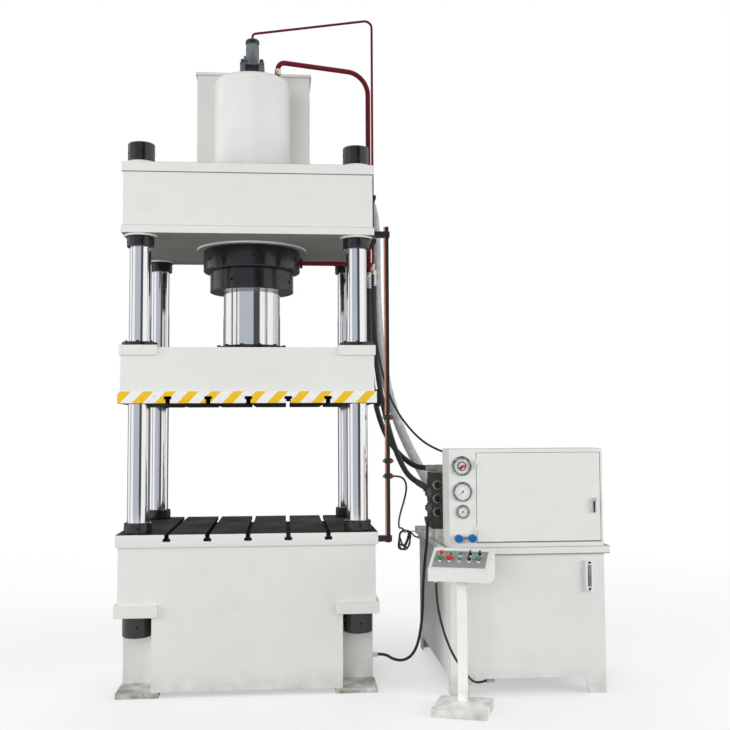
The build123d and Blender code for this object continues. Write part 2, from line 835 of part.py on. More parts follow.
# Valve cabinet: sheet housing with a gauge panel on the left and a door opening
cabinet_left = tank_left
cabinet_width = tank_width
cabinet_front = tank_front
cabinet_depth = 240
cabinet_height = 618
cabinet_top = cover_top + cabinet_height
cabinet_sheet = 4
gauge_panel = 165
door_side = 16
door_sill = 69
door_head = 24
door_left = cabinet_left + gauge_panel
door_right = cabinet_left + cabinet_width - door_side
door_bottom = cover_top + door_sill
door_top = cabinet_top - door_head
door_gap = 2
door_depth = 18
door_sheet = 3
stop_width = 14
cabinet_x = cabinet_left + cabinet_width / 2
cabinet_y = cabinet_front + cabinet_depth / 2
cabinet_back = cabinet_front + cabinet_depth
gauge_x = (cabinet_left + 76, cabinet_left + 79, cabinet_left + 80)
gauge_z = (cabinet_top - 101, cabinet_top - 254, cabinet_top - 371)
gauge_size = (120, 120, 84)
gauge_case = (100, 100, 64)
knob_x = (cabinet_left + 50, cabinet_left + 132)
knob_z = cover_top + 92
pin_x = door_left - 3
pin_y = cabinet_front - 7
hinge_z = (door_bottom + 70, door_top - 65)
hinge_height = 44
hinge_radius = 6
pin_radius = 3
pilot_gland_x = cabinet_left + 33
pilot_gland_z = cabinet_top - 27
pilot_gland_length = 24
door_x = (door_left + door_right) / 2
door_z = (door_bottom + door_top) / 2
door_width = door_right - door_left
door_height = door_top - door_bottom

with BuildPart() as cabinet_shell:
    with BuildSketch(Plane.XY.offset(cover_top)):
        with Locations((cabinet_x, cabinet_y)):
            Rectangle(cabinet_width, cabinet_depth)
    extrude(amount=cabinet_top - cover_top)
    with BuildSketch(Plane.XY.offset(cover_top + cabinet_sheet)):
        with Locations((cabinet_x, cabinet_y)):
            Rectangle(cabinet_width - 2 * cabinet_sheet, cabinet_depth - 2 * cabinet_sheet)
    extrude(amount=cabinet_top - cover_top - 2 * cabinet_sheet, mode=Mode.SUBTRACT)
    # frame behind the door, then the opening through front sheet and frame
    with BuildSketch(Plane.XZ.offset(-cabinet_front)):
        with Locations((door_x, door_z)):
            Rectangle(door_width + 2 * stop_width, door_height + 2 * stop_width)
            Rectangle(door_width + 2 * door_gap, door_height + 2 * door_gap, mode=Mode.SUBTRACT)
    extrude(amount=-door_depth - door_sheet)
    with BuildSketch(Plane.XZ.offset(-cabinet_front - door_depth - 1)):
        with Locations((door_x, door_z)):
            Rectangle(door_width + 2 * stop_width, door_height + 2 * stop_width)
            Rectangle(door_width - 2 * stop_width, door_height - 2 * stop_width, mode=Mode.SUBTRACT)
    extrude(amount=-cabinet_sheet)
    with BuildSketch(Plane.XZ.offset(-cabinet_front)):
        with Locations((door_x, door_z)):
            Rectangle(door_width + 2 * door_gap, door_height + 2 * door_gap)
    extrude(amount=-cabinet_sheet, mode=Mode.SUBTRACT)
    # holes for gauges and knob stems
    with BuildSketch(Plane.XZ.offset(-cabinet_front)):
        for index in range(3):
            with Locations((gauge_x[index], gauge_z[index])):
                Circle(gauge_case[index] / 2 + assembly_gap)
        for x in knob_x:
            with Locations((x, knob_z)):
                Circle(6 + 0.3)
    extrude(amount=-cabinet_sheet, mode=Mode.SUBTRACT)
    # small steel bar between the knobs
    with BuildSketch(Plane.XZ.offset(-cabinet_front)):
        with Locations(((knob_x[0] + knob_x[1]) / 2, knob_z)):
            Rectangle(26, 12)
    extrude(amount=8)
    # fixed knuckles of the two hinges with their pins, on a leaf welded to the front
    for z in hinge_z:
        with BuildSketch(Plane.XY.offset(z - hinge_height / 2)):
            with Locations((pin_x, pin_y)):
                Circle(hinge_radius)
            with Locations((pin_x, cabinet_front)):
                Rectangle(10, 7, align=(Align.MAX, Align.MAX))
        extrude(amount=hinge_height / 2 - 0.3)
        with BuildSketch(Plane.XY.offset(z - hinge_height / 2)):
            with Locations((pin_x, pin_y)):
                Circle(pin_radius)
        extrude(amount=hinge_height - 2)
    # gland on the back for the thin hose
    with BuildSketch(Plane.XZ.offset(-cabinet_back)):
        with Locations((pilot_gland_x, pilot_gland_z)):
            Circle(12)
    extrude(amount=-pilot_gland_length)
finish(cabinet_shell, "cabinet_shell")


# Door: pan of sheet with the moving knuckles and the lock plate
lock_inset = 40
lock_rise = 215
lock_x = door_right - lock_inset
lock_z = door_bottom + lock_rise
lock_width = 30
lock_height = 96
lock_plate = 6
lever_z = lock_z + 28
with BuildPart() as cabinet_door:
    with BuildSketch(Plane.XZ.offset(-cabinet_front)):
        with Locations((door_x, door_z)):
            Rectangle(door_width, door_height)
    extrude(amount=-door_depth)
    with BuildSketch(Plane.XZ.offset(-cabinet_front - door_sheet)):
        with Locations((door_x, door_z)):
            Rectangle(door_width - 2 * door_sheet, door_height - 2 * door_sheet)
    extrude(amount=-door_depth, mode=Mode.SUBTRACT)
    with BuildSketch(Plane.XZ.offset(-cabinet_front)):
        with Locations((lock_x, lock_z)):
            SlotOverall(lock_height, lock_width, rotation=90)
    extrude(amount=lock_plate)
    with BuildSketch(Plane.XZ.offset(-cabinet_front)):
        with Locations((lock_x, lock_z)):
            Rectangle(lock_width - 6, lock_height - 20)
    extrude(amount=-door_depth)
    with BuildSketch(Plane.XZ.offset(-cabinet_front + lock_plate)):
        with Locations((lock_x, lever_z)):
            Circle(6 + running_gap)
    extrude(amount=-door_depth - lock_plate, mode=Mode.SUBTRACT)
    for z in hinge_z:
        with BuildSketch(Plane.XY.offset(z)):
            with Locations((pin_x, pin_y)):
                Circle(hinge_radius)
            with Locations((pin_x, pin_y)):
                Rectangle(hinge_radius + 8, 4, align=(Align.MIN, Align.CENTER))
            with Locations((pin_x + hinge_radius + 4, pin_y - 2)):
                Rectangle(4, 9.5, align=(Align.MIN, Align.MIN))
            with Locations((pin_x, pin_y)):
                Circle(pin_radius + running_gap, mode=Mode.SUBTRACT)
        extrude(amount=hinge_height / 2)
finish(cabinet_door, "cabinet_door")


# Swing handle: stem through the lock plate, with a lever that hangs down
lever_length = 76
with BuildPart() as door_handle:
    lever_plane = Plane.XZ.offset(-cabinet_front + lock_plate + 0.3)
    with BuildSketch(lever_plane):
        with Locations((lock_x, lever_z)):
            Circle(13)
        with Locations((lock_x, lever_z - lever_length / 2)):
            Rectangle(13, lever_length)
        with Locations((lock_x, lever_z - lever_length)):
            Circle(6.5)
    extrude(amount=14)
    fillet(door_handle.faces().sort_by(Axis.Y)[0].edges(), radius=3)
    with BuildSketch(lever_plane):
        with Locations((lock_x, lever_z)):
            Circle(6)
    extrude(amount=-lock_plate - door_depth)
finish(door_handle, "door_handle")


# Control gear inside the cabinet: mounting plate, rails, contactors and terminals
gear_plate_width = door_width - 91
gear_plate_height = door_height - 65
gear_plate = 3
gear_spacer = 8
gear_margin = 30
gear_plate_x = door_x + 12.5
gear_plate_z = (door_bottom + door_top) / 2 + 0.5
gear_y = cabinet_back - cabinet_sheet - 1
rail_height = 35
rail_depth = 8
rail_z = (gear_plate_z + 130, gear_plate_z - 20, gear_plate_z - 170)
contactor = (72, 88, 84)
contactor_pitch = 86
contactor_shift = -90
relay = (45, 84, 66)
relay_pitch = 58
relay_shift = 30
terminals = (520, 52, 44)


def gear_row(x, z, pitch, count, size):
    with BuildSketch(Plane.XZ.offset(-gear_y + rail_depth)) as row:
        with Locations((x, z)):
            with GridLocations(pitch, 1, count, 1):
                Rectangle(size[0], size[1])
    extrude(row.sketch, amount=size[2])


with BuildPart() as control_gear:
    with BuildSketch(Plane.XZ.offset(-gear_y)):
        with Locations((gear_plate_x, gear_plate_z)):
            Rectangle(gear_plate_width, gear_plate_height)
    extrude(amount=gear_plate)
    with BuildSketch(Plane.XZ.offset(-gear_y)):
        with Locations((gear_plate_x, gear_plate_z)):
            with GridLocations(
                gear_plate_width - 2 * gear_margin, gear_plate_height - 2 * gear_margin, 2, 2
            ):
                Circle(gear_spacer)
    extrude(amount=-1)
    for row_z in rail_z:
        with BuildSketch(Plane.XZ.offset(-gear_y + gear_plate)):
            with Locations((gear_plate_x, row_z)):
                Rectangle(gear_plate_width - gear_margin - 10, rail_height)
        extrude(amount=rail_depth)
    gear_row(gear_plate_x + contactor_shift, rail_z[0], contactor_pitch, 5, contactor)
    gear_row(gear_plate_x + relay_shift, rail_z[1], relay_pitch, 8, relay)
    gear_row(gear_plate_x, rail_z[2], contactor_pitch, 1, terminals)
finish(control_gear, "control_gear")


# Pressure gauges: flanged cases with the dial set back, and their needles
dial_depth = 8
flange_depth = 14
case_depth = 46
with BuildPart() as gauge_cases:
    for index in range(3):
        with Locations((gauge_x[index], 0, gauge_z[index])):
            with BuildSketch(Plane.XZ.offset(-cabinet_front)):
                with Locations((gauge_x[index], gauge_z[index])):
                    Circle(gauge_size[index] / 2)
        extrude(amount=flange_depth)
        with BuildSketch(Plane.XZ.offset(-cabinet_front)):
            with Locations((gauge_x[index], gauge_z[index])):
                Circle(gauge_case[index] / 2)
        extrude(amount=-case_depth)
        with BuildSketch(Plane.XZ.offset(-cabinet_front + flange_depth)):
            with Locations((gauge_x[index], gauge_z[index])):
                Circle(gauge_case[index] / 2 - 3)
        extrude(amount=-dial_depth, mode=Mode.SUBTRACT)
        with BuildSketch(Plane.XZ.offset(-cabinet_front + flange_depth - dial_depth)):
            with Locations((gauge_x[index], gauge_z[index])):
                Circle(2.5 + running_gap)
        extrude(amount=-6, mode=Mode.SUBTRACT)
finish(gauge_cases, "gauge_cases")

needle_names = ("gauge_needle_main", "gauge_needle_return", "gauge_needle_pilot")
needle_rest = (225, 225, 225)
for index in range(3):
    needle_length = gauge_case[index] / 2 - 12
    needle_plane = Plane(
        origin=(gauge_x[index], cabinet_front - flange_depth + dial_depth - 1, gauge_z[index]),
        x_dir=(1, 0, 0),
        z_dir=(0, -1, 0),
    )
    tip = Vector(0, needle_length).rotate(Axis.Z, 135)
    side = Vector(2, 0).rotate(Axis.Z, 135)
    with BuildPart() as needle:
        with BuildSketch(needle_plane):
            Circle(5)
            with BuildLine():
                Polyline(
                    (tip.X, tip.Y),
                    (side.X - tip.X * 0.3, side.Y - tip.Y * 0.3),
                    (-side.X - tip.X * 0.3, -side.Y - tip.Y * 0.3),
                    close=True,
                )
            make_face()
        extrude(amount=1.5)
        with BuildSketch(needle_plane):
            Circle(2.5)
        extrude(amount=-6)
    finish(needle, needle_names[index])


# Blue shut-off knobs: fluted grips on stems through the panel
knob_radius = 24
knob_depth = 34
stem_radius = 6
for index in range(2):
    knob_plane = Plane(
        origin=(knob_x[index], cabinet_front - 6, knob_z), x_dir=(1, 0, 0), z_dir=(0, -1, 0)
    )
    with BuildPart() as knob:
        with BuildSketch(knob_plane):
            Circle(knob_radius)
            with PolarLocations(knob_radius + 2, 8):
                Circle(5, mode=Mode.SUBTRACT)
        extrude(amount=knob_depth)
        fillet(knob.faces().sort_by(Axis.Y)[0].edges(), radius=3)
        with BuildSketch(knob_plane):
            Circle(stem_radius)
        extrude(amount=-30)
    finish(knob, ("valve_knob_left", "valve_knob_right")[index])


# Manifold: bored steel block with three screw plugs, carrying the solenoid valves
plug_x = manifold_x - 44
plug_z = (manifold_bottom + 107, manifold_bottom + 191, manifold_bottom + 277)
plug_radius = 17
plug_height = 12
manifold_front = manifold_y - manifold_depth / 2
manifold_back = manifold_y + manifold_depth / 2
manifold_left = manifold_x - manifold_width / 2
manifold_top = manifold_bottom + manifold_height
hose_ferrule_radius = 21
hose_block_y = manifold_y - 5
hose_main_end = (manifold_left - 5, hose_block_y + 70, manifold_top + 24)
hose_main_axis = (45, -47, 0)
hose_main_ferrule = 86
top_block = 46
top_block_x = manifold_left + 65
hose_return_end = (manifold_left - 72, hose_block_y + 52, manifold_top - 68)
hose_return_axis = (43, -41, -28)
hose_return_ferrule = 82
side_block = (42, 40, 42)
side_block_z = manifold_top - 124
cable_block = (46, 28, 26)
cable_gland_radius = 13
cable_gland_length = 20
base_cable_x = manifold_left - 28
base_cable_y = manifold_front + 33
base_cable_z = manifold_bottom + 30

with BuildPart() as manifold_block:
    with BuildSketch(Plane.XY.offset(manifold_bottom)):
        with Locations((manifold_x, manifold_y)):
            Rectangle(manifold_width, manifold_depth)
    extrude(amount=manifold_height)
    chamfer(manifold_block.edges().filter_by(Axis.Z), length=5)
    with BuildSketch(Plane.XZ.offset(-manifold_front)):
        with Locations(*[(plug_x, z) for z in plug_z]):
            Circle(plug_radius)
    extrude(amount=plug_height)
    # elbow blocks with the ferrules of the two hoses, and one for the cable
    with BuildSketch(Plane.XY.offset(manifold_top)):
        with Locations((top_block_x, hose_block_y)):
            Rectangle(top_block, top_block)
    extrude(amount=top_block + 1)
    with BuildSketch(Plane(origin=hose_main_end, z_dir=hose_main_axis)):
        Circle(hose_ferrule_radius)
    extrude(amount=hose_main_ferrule)
    with BuildSketch(Plane.XY.offset(side_block_z)):
        with Locations((manifold_left + 2, hose_block_y)):
            Rectangle(side_block[0], side_block[1], align=(Align.MAX, Align.CENTER))
    extrude(amount=side_block[2])
    with BuildSketch(Plane(origin=hose_return_end, z_dir=hose_return_axis)):
        Circle(hose_ferrule_radius)
    extrude(amount=hose_return_ferrule)
    with BuildSketch(Plane.XY.offset(base_cable_z + cable_gland_length)):
        with Locations((manifold_left + 2, base_cable_y)):
            Rectangle(cable_block[0], cable_block[1], align=(Align.MAX, Align.CENTER))
    extrude(amount=cable_block[2])
    with BuildSketch(Plane.XY.offset(base_cable_z)):
        with Locations((base_cable_x, base_cable_y)):
            Circle(cable_gland_radius)
    extrude(amount=cable_gland_length)
finish(manifold_block, "manifold_block")

# Solenoid valves on the back of the manifold: bodies with a coil at each end
solenoid_rise = 65
solenoid_pitch = 110
solenoid_z = [manifold_bottom + solenoid_rise + row * solenoid_pitch for row in range(3)]
solenoid_body = (100, 72, 62)
solenoid_axis = 40
solenoid_coil = 54
solenoid_coil_length = 84
solenoid_plug = 22
solenoid_plug_length = 34

with BuildPart() as manifold_valves:
    for valve_z in solenoid_z:
        with BuildSketch(Plane.XZ.offset(-manifold_back)):
            with Locations((manifold_x, valve_z)):
                Rectangle(solenoid_body[0], solenoid_body[2])
        extrude(amount=-solenoid_body[1])
        with BuildSketch(Plane.YZ.offset(manifold_x + solenoid_body[0] / 2)):
            with Locations((manifold_back + solenoid_axis, valve_z)):
                RectangleRounded(solenoid_coil, solenoid_coil, 8)
        extrude(amount=solenoid_coil_length)
        with BuildSketch(Plane.YZ.offset(manifold_x - solenoid_body[0] / 2)):
            with Locations((manifold_back + solenoid_axis, valve_z)):
                Circle(solenoid_plug)
        extrude(amount=-solenoid_plug_length)
finish(manifold_valves, "manifold_valves")


# Electric motor, finned, on a foot plate, driving the pump to its left
motor_right = 132
motor_behind = 231
motor_x = tank_x + motor_right
motor_y = tank_y + motor_behind
motor_radius = 120
motor_length = 330
motor_fins = 24
fin_height = 12
fin_thickness = 5
fan_cover_length = 80
fan_cover_proud = 8
motor_flange = 24
motor_flange_proud = 14
motor_foot = (260, 270, 16)
motor_rail = (220, 26, 110)
motor_rail_spacing = 180
terminal_box = (120, 110, 182)
shaft_rise = 190
shaft_height = cover_top + shaft_rise


def round_at(x, radius, amount):
    # round part about the shaft of motor and pump
    with BuildSketch(Plane.YZ.offset(x)) as face:
        with Locations((motor_y, shaft_height)):
            Circle(radius)
    extrude(face.sketch, amount=amount)


def standing_at(x, height, size):
    # upright block with its foot at one height
    with BuildSketch(Plane.XY.offset(height)) as face:
        with Locations((x, motor_y)):
            Rectangle(size[0], size[1])
    extrude(face.sketch, amount=size[2])


with BuildPart() as motor:
    round_at(motor_x - motor_length / 2, motor_radius, motor_length)
    with BuildSketch(Plane.YZ.offset(motor_x - motor_length / 2)):
        with Locations((motor_y, shaft_height)):
            with PolarLocations(motor_radius, motor_fins):
                Rectangle(2 * fin_height, fin_thickness)
    extrude(amount=motor_length)
    round_at(motor_x + motor_length / 2, motor_radius + fan_cover_proud, fan_cover_length)
    round_at(motor_x - motor_length / 2, motor_radius + motor_flange_proud, -motor_flange)
    standing_at(motor_x, cover_top, motor_foot)
    with BuildSketch(Plane.XY.offset(cover_top)):
        with Locations((motor_x, motor_y)):
            with GridLocations(1, motor_rail_spacing, 1, 2):
                Rectangle(motor_rail[0], motor_rail[1])
    extrude(amount=motor_rail[2])
    standing_at(motor_x, shaft_height, terminal_box)
finish(motor, "motor")

pump_face = motor_x - motor_length / 2 - motor_flange
bell_length = 92
bell_radius = (104, 76)
pump_body = 132
pump_body_length = 136
pump_corner = 24
pump_foot = (60, 100, shaft_rise)
with BuildPart() as pump:
    with BuildSketch(Plane.YZ.offset(pump_face)):
        with Locations((motor_y, shaft_height)):
            Circle(bell_radius[0])
    with BuildSketch(Plane.YZ.offset(pump_face - bell_length)):
        with Locations((motor_y, shaft_height)):
            Circle(bell_radius[1])
    loft()
    with BuildSketch(Plane.YZ.offset(pump_face - bell_length)):
        with Locations((motor_y, shaft_height)):
            RectangleRounded(pump_body, pump_body, pump_corner)
    extrude(amount=-pump_body_length)
    standing_at(pump_face - bell_length - pump_body_length / 2, cover_top, pump_foot)
finish(pump, "pump")


# Oil level gauge: sight glass between two end blocks on the tank front
level_x = tank_right - 96
level_z = tank_rim - 130
level_height = 180
level_width = 42
level_depth = 22
with BuildPart() as level_gauge:
    with BuildSketch(Plane.XZ.offset(-tank_front)):
        with Locations((level_x, level_z)):
            Rectangle(level_width, level_height)
    extrude(amount=level_depth)
    with BuildSketch(Plane.XZ.offset(-tank_front + level_depth)):
        with Locations((level_x, level_z)):
            Rectangle(level_width - 22, level_height - 56)
    extrude(amount=-level_depth + 8, mode=Mode.SUBTRACT)
    with BuildSketch(Plane.XZ.offset(-tank_front + level_depth)):
        with Locations((level_x, level_z)):
            with GridLocations(1, level_height - 28, 1, 2):
                Circle(8)
    extrude(amount=6)
finish(level_gauge, "level_gauge")


# Control pedestal, turned towards the operator: base plate, post and sloping console
pedestal_x = tank_left + 16
pedestal_y = tank_front - 289
pedestal_turn = -20.4
pedestal_base = 306
pedestal_edge = 41
pedestal_peak = 60
post_size = 50
console_width = 348
console_depth = 192
console_bottom = 723
console_front = 791
console_back = 887

turn = math.radians(pedestal_turn)
across = Vector(math.cos(turn), math.sin(turn), 0)
towards_back = Vector(-math.sin(turn), math.cos(turn), 0)
pedestal_origin = Vector(pedestal_x, pedestal_y, 0)
floor_plane = Plane(origin=pedestal_origin, x_dir=across, z_dir=(0, 0, 1))
side_plane = Plane(
    origin=pedestal_origin + across * (-console_width / 2), x_dir=towards_back, z_dir=across
)
console_rise = console_back - console_front
slope_length = math.hypot(console_depth, console_rise)
slope_normal = (
    towards_back * (-console_rise / slope_length)
    + Vector(0, 0, 1) * (console_depth / slope_length)
)
slope_centre = pedestal_origin + Vector(0, 0, (console_front + console_back) / 2)
slope_plane = Plane(origin=slope_centre, x_dir=across, z_dir=slope_normal)

with BuildPart() as pedestal:
    with BuildSketch(floor_plane):
        Rectangle(pedestal_base, pedestal_base)
    extrude(amount=pedestal_edge)
    with BuildSketch(floor_plane.offset(pedestal_edge)):
        Rectangle(pedestal_base, pedestal_base)
    with BuildSketch(floor_plane.offset(pedestal_peak)):
        Rectangle(post_size, post_size)
    loft()
    with BuildSketch(floor_plane.offset(pedestal_edge)):
        Rectangle(post_size, post_size)
    extrude(amount=console_bottom - pedestal_edge - 8)
    with BuildSketch(floor_plane.offset(console_bottom - 8)):
        Rectangle(130, 110)
    extrude(amount=8)
finish(pedestal, "pedestal")

# Console: sloping box with a sunk grey panel, bored for the controls
panel_u = -7
panel_v = -5
panel_width = 300
panel_height = 166
panel_sink = 3
control_pitch = 54.75
control_u = -11.5
row_v = (46, -7)
stem_bore = 11
bezel_radius = 15
bezel_height = 4
bore_depth = 32
cable_u = -150
cable_v = 20
console_gland = 22
console_gland_radius = 13
lamp_height = 8
stem_reach = 20
stem_gap = 0.1
head_height = 12
mushroom_radius = 17
stop_radius = 20
selector_bar = (26, 9, 14)

with BuildPart() as console_box:
    with BuildSketch(side_plane):
        with BuildLine():
            Polyline(
                (-console_depth / 2, console_bottom),
                (-console_depth / 2, console_front),
                (console_depth / 2, console_back),
                (console_depth / 2, console_bottom),
                close=True,
            )
        make_face()
    extrude(amount=console_width)
    with BuildSketch(slope_plane):
        with Locations((panel_u, panel_v)):
            Rectangle(panel_width, panel_height)
    extrude(amount=-panel_sink, mode=Mode.SUBTRACT)
    for row in range(2):
        with BuildSketch(slope_plane.offset(-panel_sink)):
            with Locations((control_u, row_v[row])):
                with GridLocations(control_pitch, 1, 5, 1):
                    Circle(bezel_radius)
        extrude(amount=bezel_height)
        with BuildSketch(slope_plane.offset(bezel_height)):
            with Locations((control_u, row_v[row])):
                with GridLocations(control_pitch, 1, 5, 1):
                    Circle(stem_bore)
        extrude(amount=-bore_depth, mode=Mode.SUBTRACT)
    # signal lamp at the back left, and the cable gland below
    with BuildSketch(slope_plane.offset(-bore_depth)):
        with Locations((control_u - 2 * control_pitch, row_v[0])):
            Circle(stem_bore + 1)
    extrude(amount=bore_depth + lamp_height)
    with BuildSketch(floor_plane.offset(console_bottom)):
        with Locations((cable_u, cable_v)):
            Circle(console_gland_radius)
    extrude(amount=-console_gland)
finish(console_box, "console_box")


# Controls: mushroom and push buttons that travel, and selectors that turn
push_travel = 4
control_list = (
    ("button_start", 1, 0, "push"),
    ("button_stop", 2, 0, "push"),
    ("selector_mode", 3, 0, "turn"),
    ("selector_pressure", 4, 0, "turn"),
    ("mushroom_down", 0, 1, "mushroom"),
    ("emergency_stop", 1, 1, "stop"),
    ("button_up", 2, 1, "push"),
    ("selector_light", 3, 1, "turn"),
    ("mushroom_run", 4, 1, "mushroom"),
)
for control_name, column, row, kind in control_list:
    spot = slope_plane.from_local_coords(
        (control_u + (column - 2) * control_pitch, row_v[row], bezel_height - panel_sink)
    )
    spot_plane = Plane(origin=spot, x_dir=across, z_dir=slope_normal)
    with BuildPart() as control:
        # stem inside the bore, with room below it for the travel
        with BuildSketch(spot_plane.offset(-stem_reach)):
            Circle(stem_bore - stem_gap)
        extrude(amount=stem_reach + push_travel + 2)
        if kind == "push":
            fillet(control.faces().sort_by(Axis.Z)[-1].edges(), radius=2)
        if kind in ("mushroom", "stop"):
            head = stop_radius if kind == "stop" else mushroom_radius
            with BuildSketch(spot_plane.offset(push_travel + 2)):
                Circle(head)
            extrude(amount=head_height)
            fillet(control.faces().sort_by(Axis.Z)[-1].edges(), radius=7)
        if kind == "turn":
            with BuildSketch(spot_plane.offset(push_travel + 2)):
                SlotOverall(selector_bar[0], selector_bar[1], rotation=90)
            extrude(amount=selector_bar[2])
    finish(control, control_name)


# Hoses and cables: straight runs joined by arcs as large as the runs allow
coil_entry_z = coil_z + coil_height / 2 - coil_band / 2


def cord_path(name, points):
    corners = [Vector(*point) for point in points]
    radii = []
    for before, corner, after in zip(corners, corners[1:], corners[2:]):
        bend = math.radians((corner - before).get_angle(after - corner))
        shorter = min((corner - before).length, (after - corner).length)
        radii.append(0.45 * shorter / math.tan(bend / 2))
    print(name, "radii", [round(radius) for radius in radii])
    return bent_path(points, radii)


def cord(name, points, diameter):
    route = cord_path(name, points)
    with BuildPart() as tube:
        with BuildSketch(Plane(origin=route @ 0, z_dir=route % 0)):
            Circle(diameter / 2)
        sweep(path=route)
    expected = math.pi * diameter**2 / 4 * route.length
    print(name, "length", round(route.length), "volume ratio", round(tube.part.volume / expected, 4))
    finish(tube, name)


def led(points, start, end):
    # the points as laid out, moved along when the fittings at the ends move
    first = Vector(*start) - Vector(*points[0])
    last = Vector(*end) - Vector(*points[-1])
    moved = []
    for index, point in enumerate(points):
        share = min(max((index - 1) / (len(points) - 3), 0), 1)
        moved.append(tuple(Vector(*point) + first * (1 - share) + last * share))
    return moved


main_start = (main_pipe_x, main_pipe_y, main_pipe_end - ferrule_length)
hose_main_route = [
    (800, 190, 2540),
    (800, 190, 2300),
    (807, 183, 2030),
    (831, 158, 1760),
    (887, 100, 1550),
    (964, 21, 1415),
    (1047, -65, 1338),
    (1100, -118, 1314),
    (1145, -165, 1314),
]
cord("hose_main", led(hose_main_route, main_start, hose_main_end), hose_diameter)

rod_start_point = (rod_x, rod_y, rod_end - ferrule_length)
hose_return_route = [
    (822, 60, 2540),
    (822, 60, 2310),
    (831, 52, 2060),
    (857, 27, 1830),
    (895, -9, 1630),
    (938, -50, 1460),
    (990, -100, 1322),
    (1035, -142, 1250),
    (1078, -183, 1222),
]
cord("hose_return", led(hose_return_route, rod_start_point, hose_return_end), hose_diameter)

fill_start = (fill_width / 2 + fill_port_length, fill_port_y, fill_port_z)
fill_end = (fill_port_x, fill_port_back, cover_top + fill_port_rise)
hose_fill_route = [
    (425, 350, 3380),
    (575, 350, 3380),
    (709, 349, 3339),
    (800, 348, 3250),
    (852, 347, 3120),
    (868, 346, 2920),
    (866, 343, 2620),
    (876, 334, 2310),
    (905, 322, 2020),
    (960, 304, 1750),
    (1050, 278, 1500),
    (1150, 245, 1300),
    (1240, 212, 1135),
    (1285, 195, 1000),
    (1285, 195, 878),
]
cord("hose_fill", led(hose_fill_route, fill_start, fill_end), fill_hose)

pilot_start = (pilot_x, 0, pilot_end - pilot_ferrule)
pilot_finish = (pilot_gland_x, cabinet_back + pilot_gland_length, pilot_gland_z)
hose_pilot_route = [
    (812, 0, 2610),
    (812, 0, 2430),
    (822, -10, 2230),
    (846, -36, 2040),
    (884, -78, 1860),
    (938, -136, 1705),
    (1015, -210, 1580),
    (1100, -282, 1485),
    (1180, -356, 1437),
    (1225, -410, 1419),
    (1225, -467, 1419),
]
cord("hose_pilot", led(hose_pilot_route, pilot_start, pilot_finish), pilot_hose)

switch_cable = 12
switch_start = (bar_x + 30, bar_y - switch_offset, switch_heights[0])
switch_finish = (coil_x, hook_y - coil_thickness / 2, coil_entry_z)
cable_switches_route = [
    (887, -489, 1278),
    (925, -489, 1278),
    (958, -478, 1256),
    (975, -438, 1205),
    (972, -345, 1125),
    (962, -205, 1030),
    (968, -50, 958),
    (990, 110, 908),
    (1022, 260, 878),
    (1056, 370, 858),
    (1079, 440, 852),
    (1079, 498, 852),
]
cord("cable_switches", led(cable_switches_route, switch_start, switch_finish), switch_cable)

base_start = (base_width / 2 + base_gland_length, base_gland_y, base_gland_z)
base_finish = (base_cable_x, base_cable_y, base_cable_z)
base_cable = 18
cable_base_route = [
    (795, -330, 165),
    (845, -330, 165),
    (895, -327, 130),
    (960, -320, 118),
    (1022, -314, 152),
    (1062, -309, 240),
    (1086, -305, 400),
    (1090, -303, 580),
    (1104, -300, 740),
    (1122, -297, 865),
    (1122, -297, 965),
]
cord("cable_base", led(cable_base_route, base_start, base_finish), base_cable)

console_exit = floor_plane.from_local_coords((cable_u, cable_v, console_bottom - console_gland))
console_start = (console_exit.X, console_exit.Y, console_exit.Z)
console_cable = 14
cable_console_route = [
    (1074.38, -948.97, 701),
    (1074.38, -948.97, 600),
    (1090, -936, 470),
    (1126, -908, 345),
    (1182, -865, 235),
    (1246, -815, 150),
    (1310, -765, 96),
    (1361, -716, 72),
    (1412, -668, 72),
]
cord("cable_console", led(cable_console_route, console_start, console_cable_end), console_cable)

# Coil of spare switch cable, hanging on the cover hook
with BuildPart() as cable_coil:
    with BuildSketch(Plane.XZ.offset(-hook_y - coil_thickness / 2)):
        with Locations((coil_x, coil_z)):
            SlotOverall(coil_height, coil_width, rotation=90)
            SlotOverall(
                coil_height - 2 * coil_band,
                coil_width - 2 * coil_band,
                rotation=90,
                mode=Mode.SUBTRACT,
            )
    extrude(amount=coil_thickness)
    # the cable leaves the coil for the gland on the tank side
    with BuildSketch(Plane.YZ.offset(tank_left - tank_gland_length)):
        with Locations((hook_y, coil_z)):
            Circle(switch_cable / 2)
    extrude(amount=coil_x + coil_width / 2 - 2 - tank_left + tank_gland_length)
finish(cable_coil, "cable_coil")
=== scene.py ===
import bmesh
import bpy
import math
from mathutils import Matrix, Vector


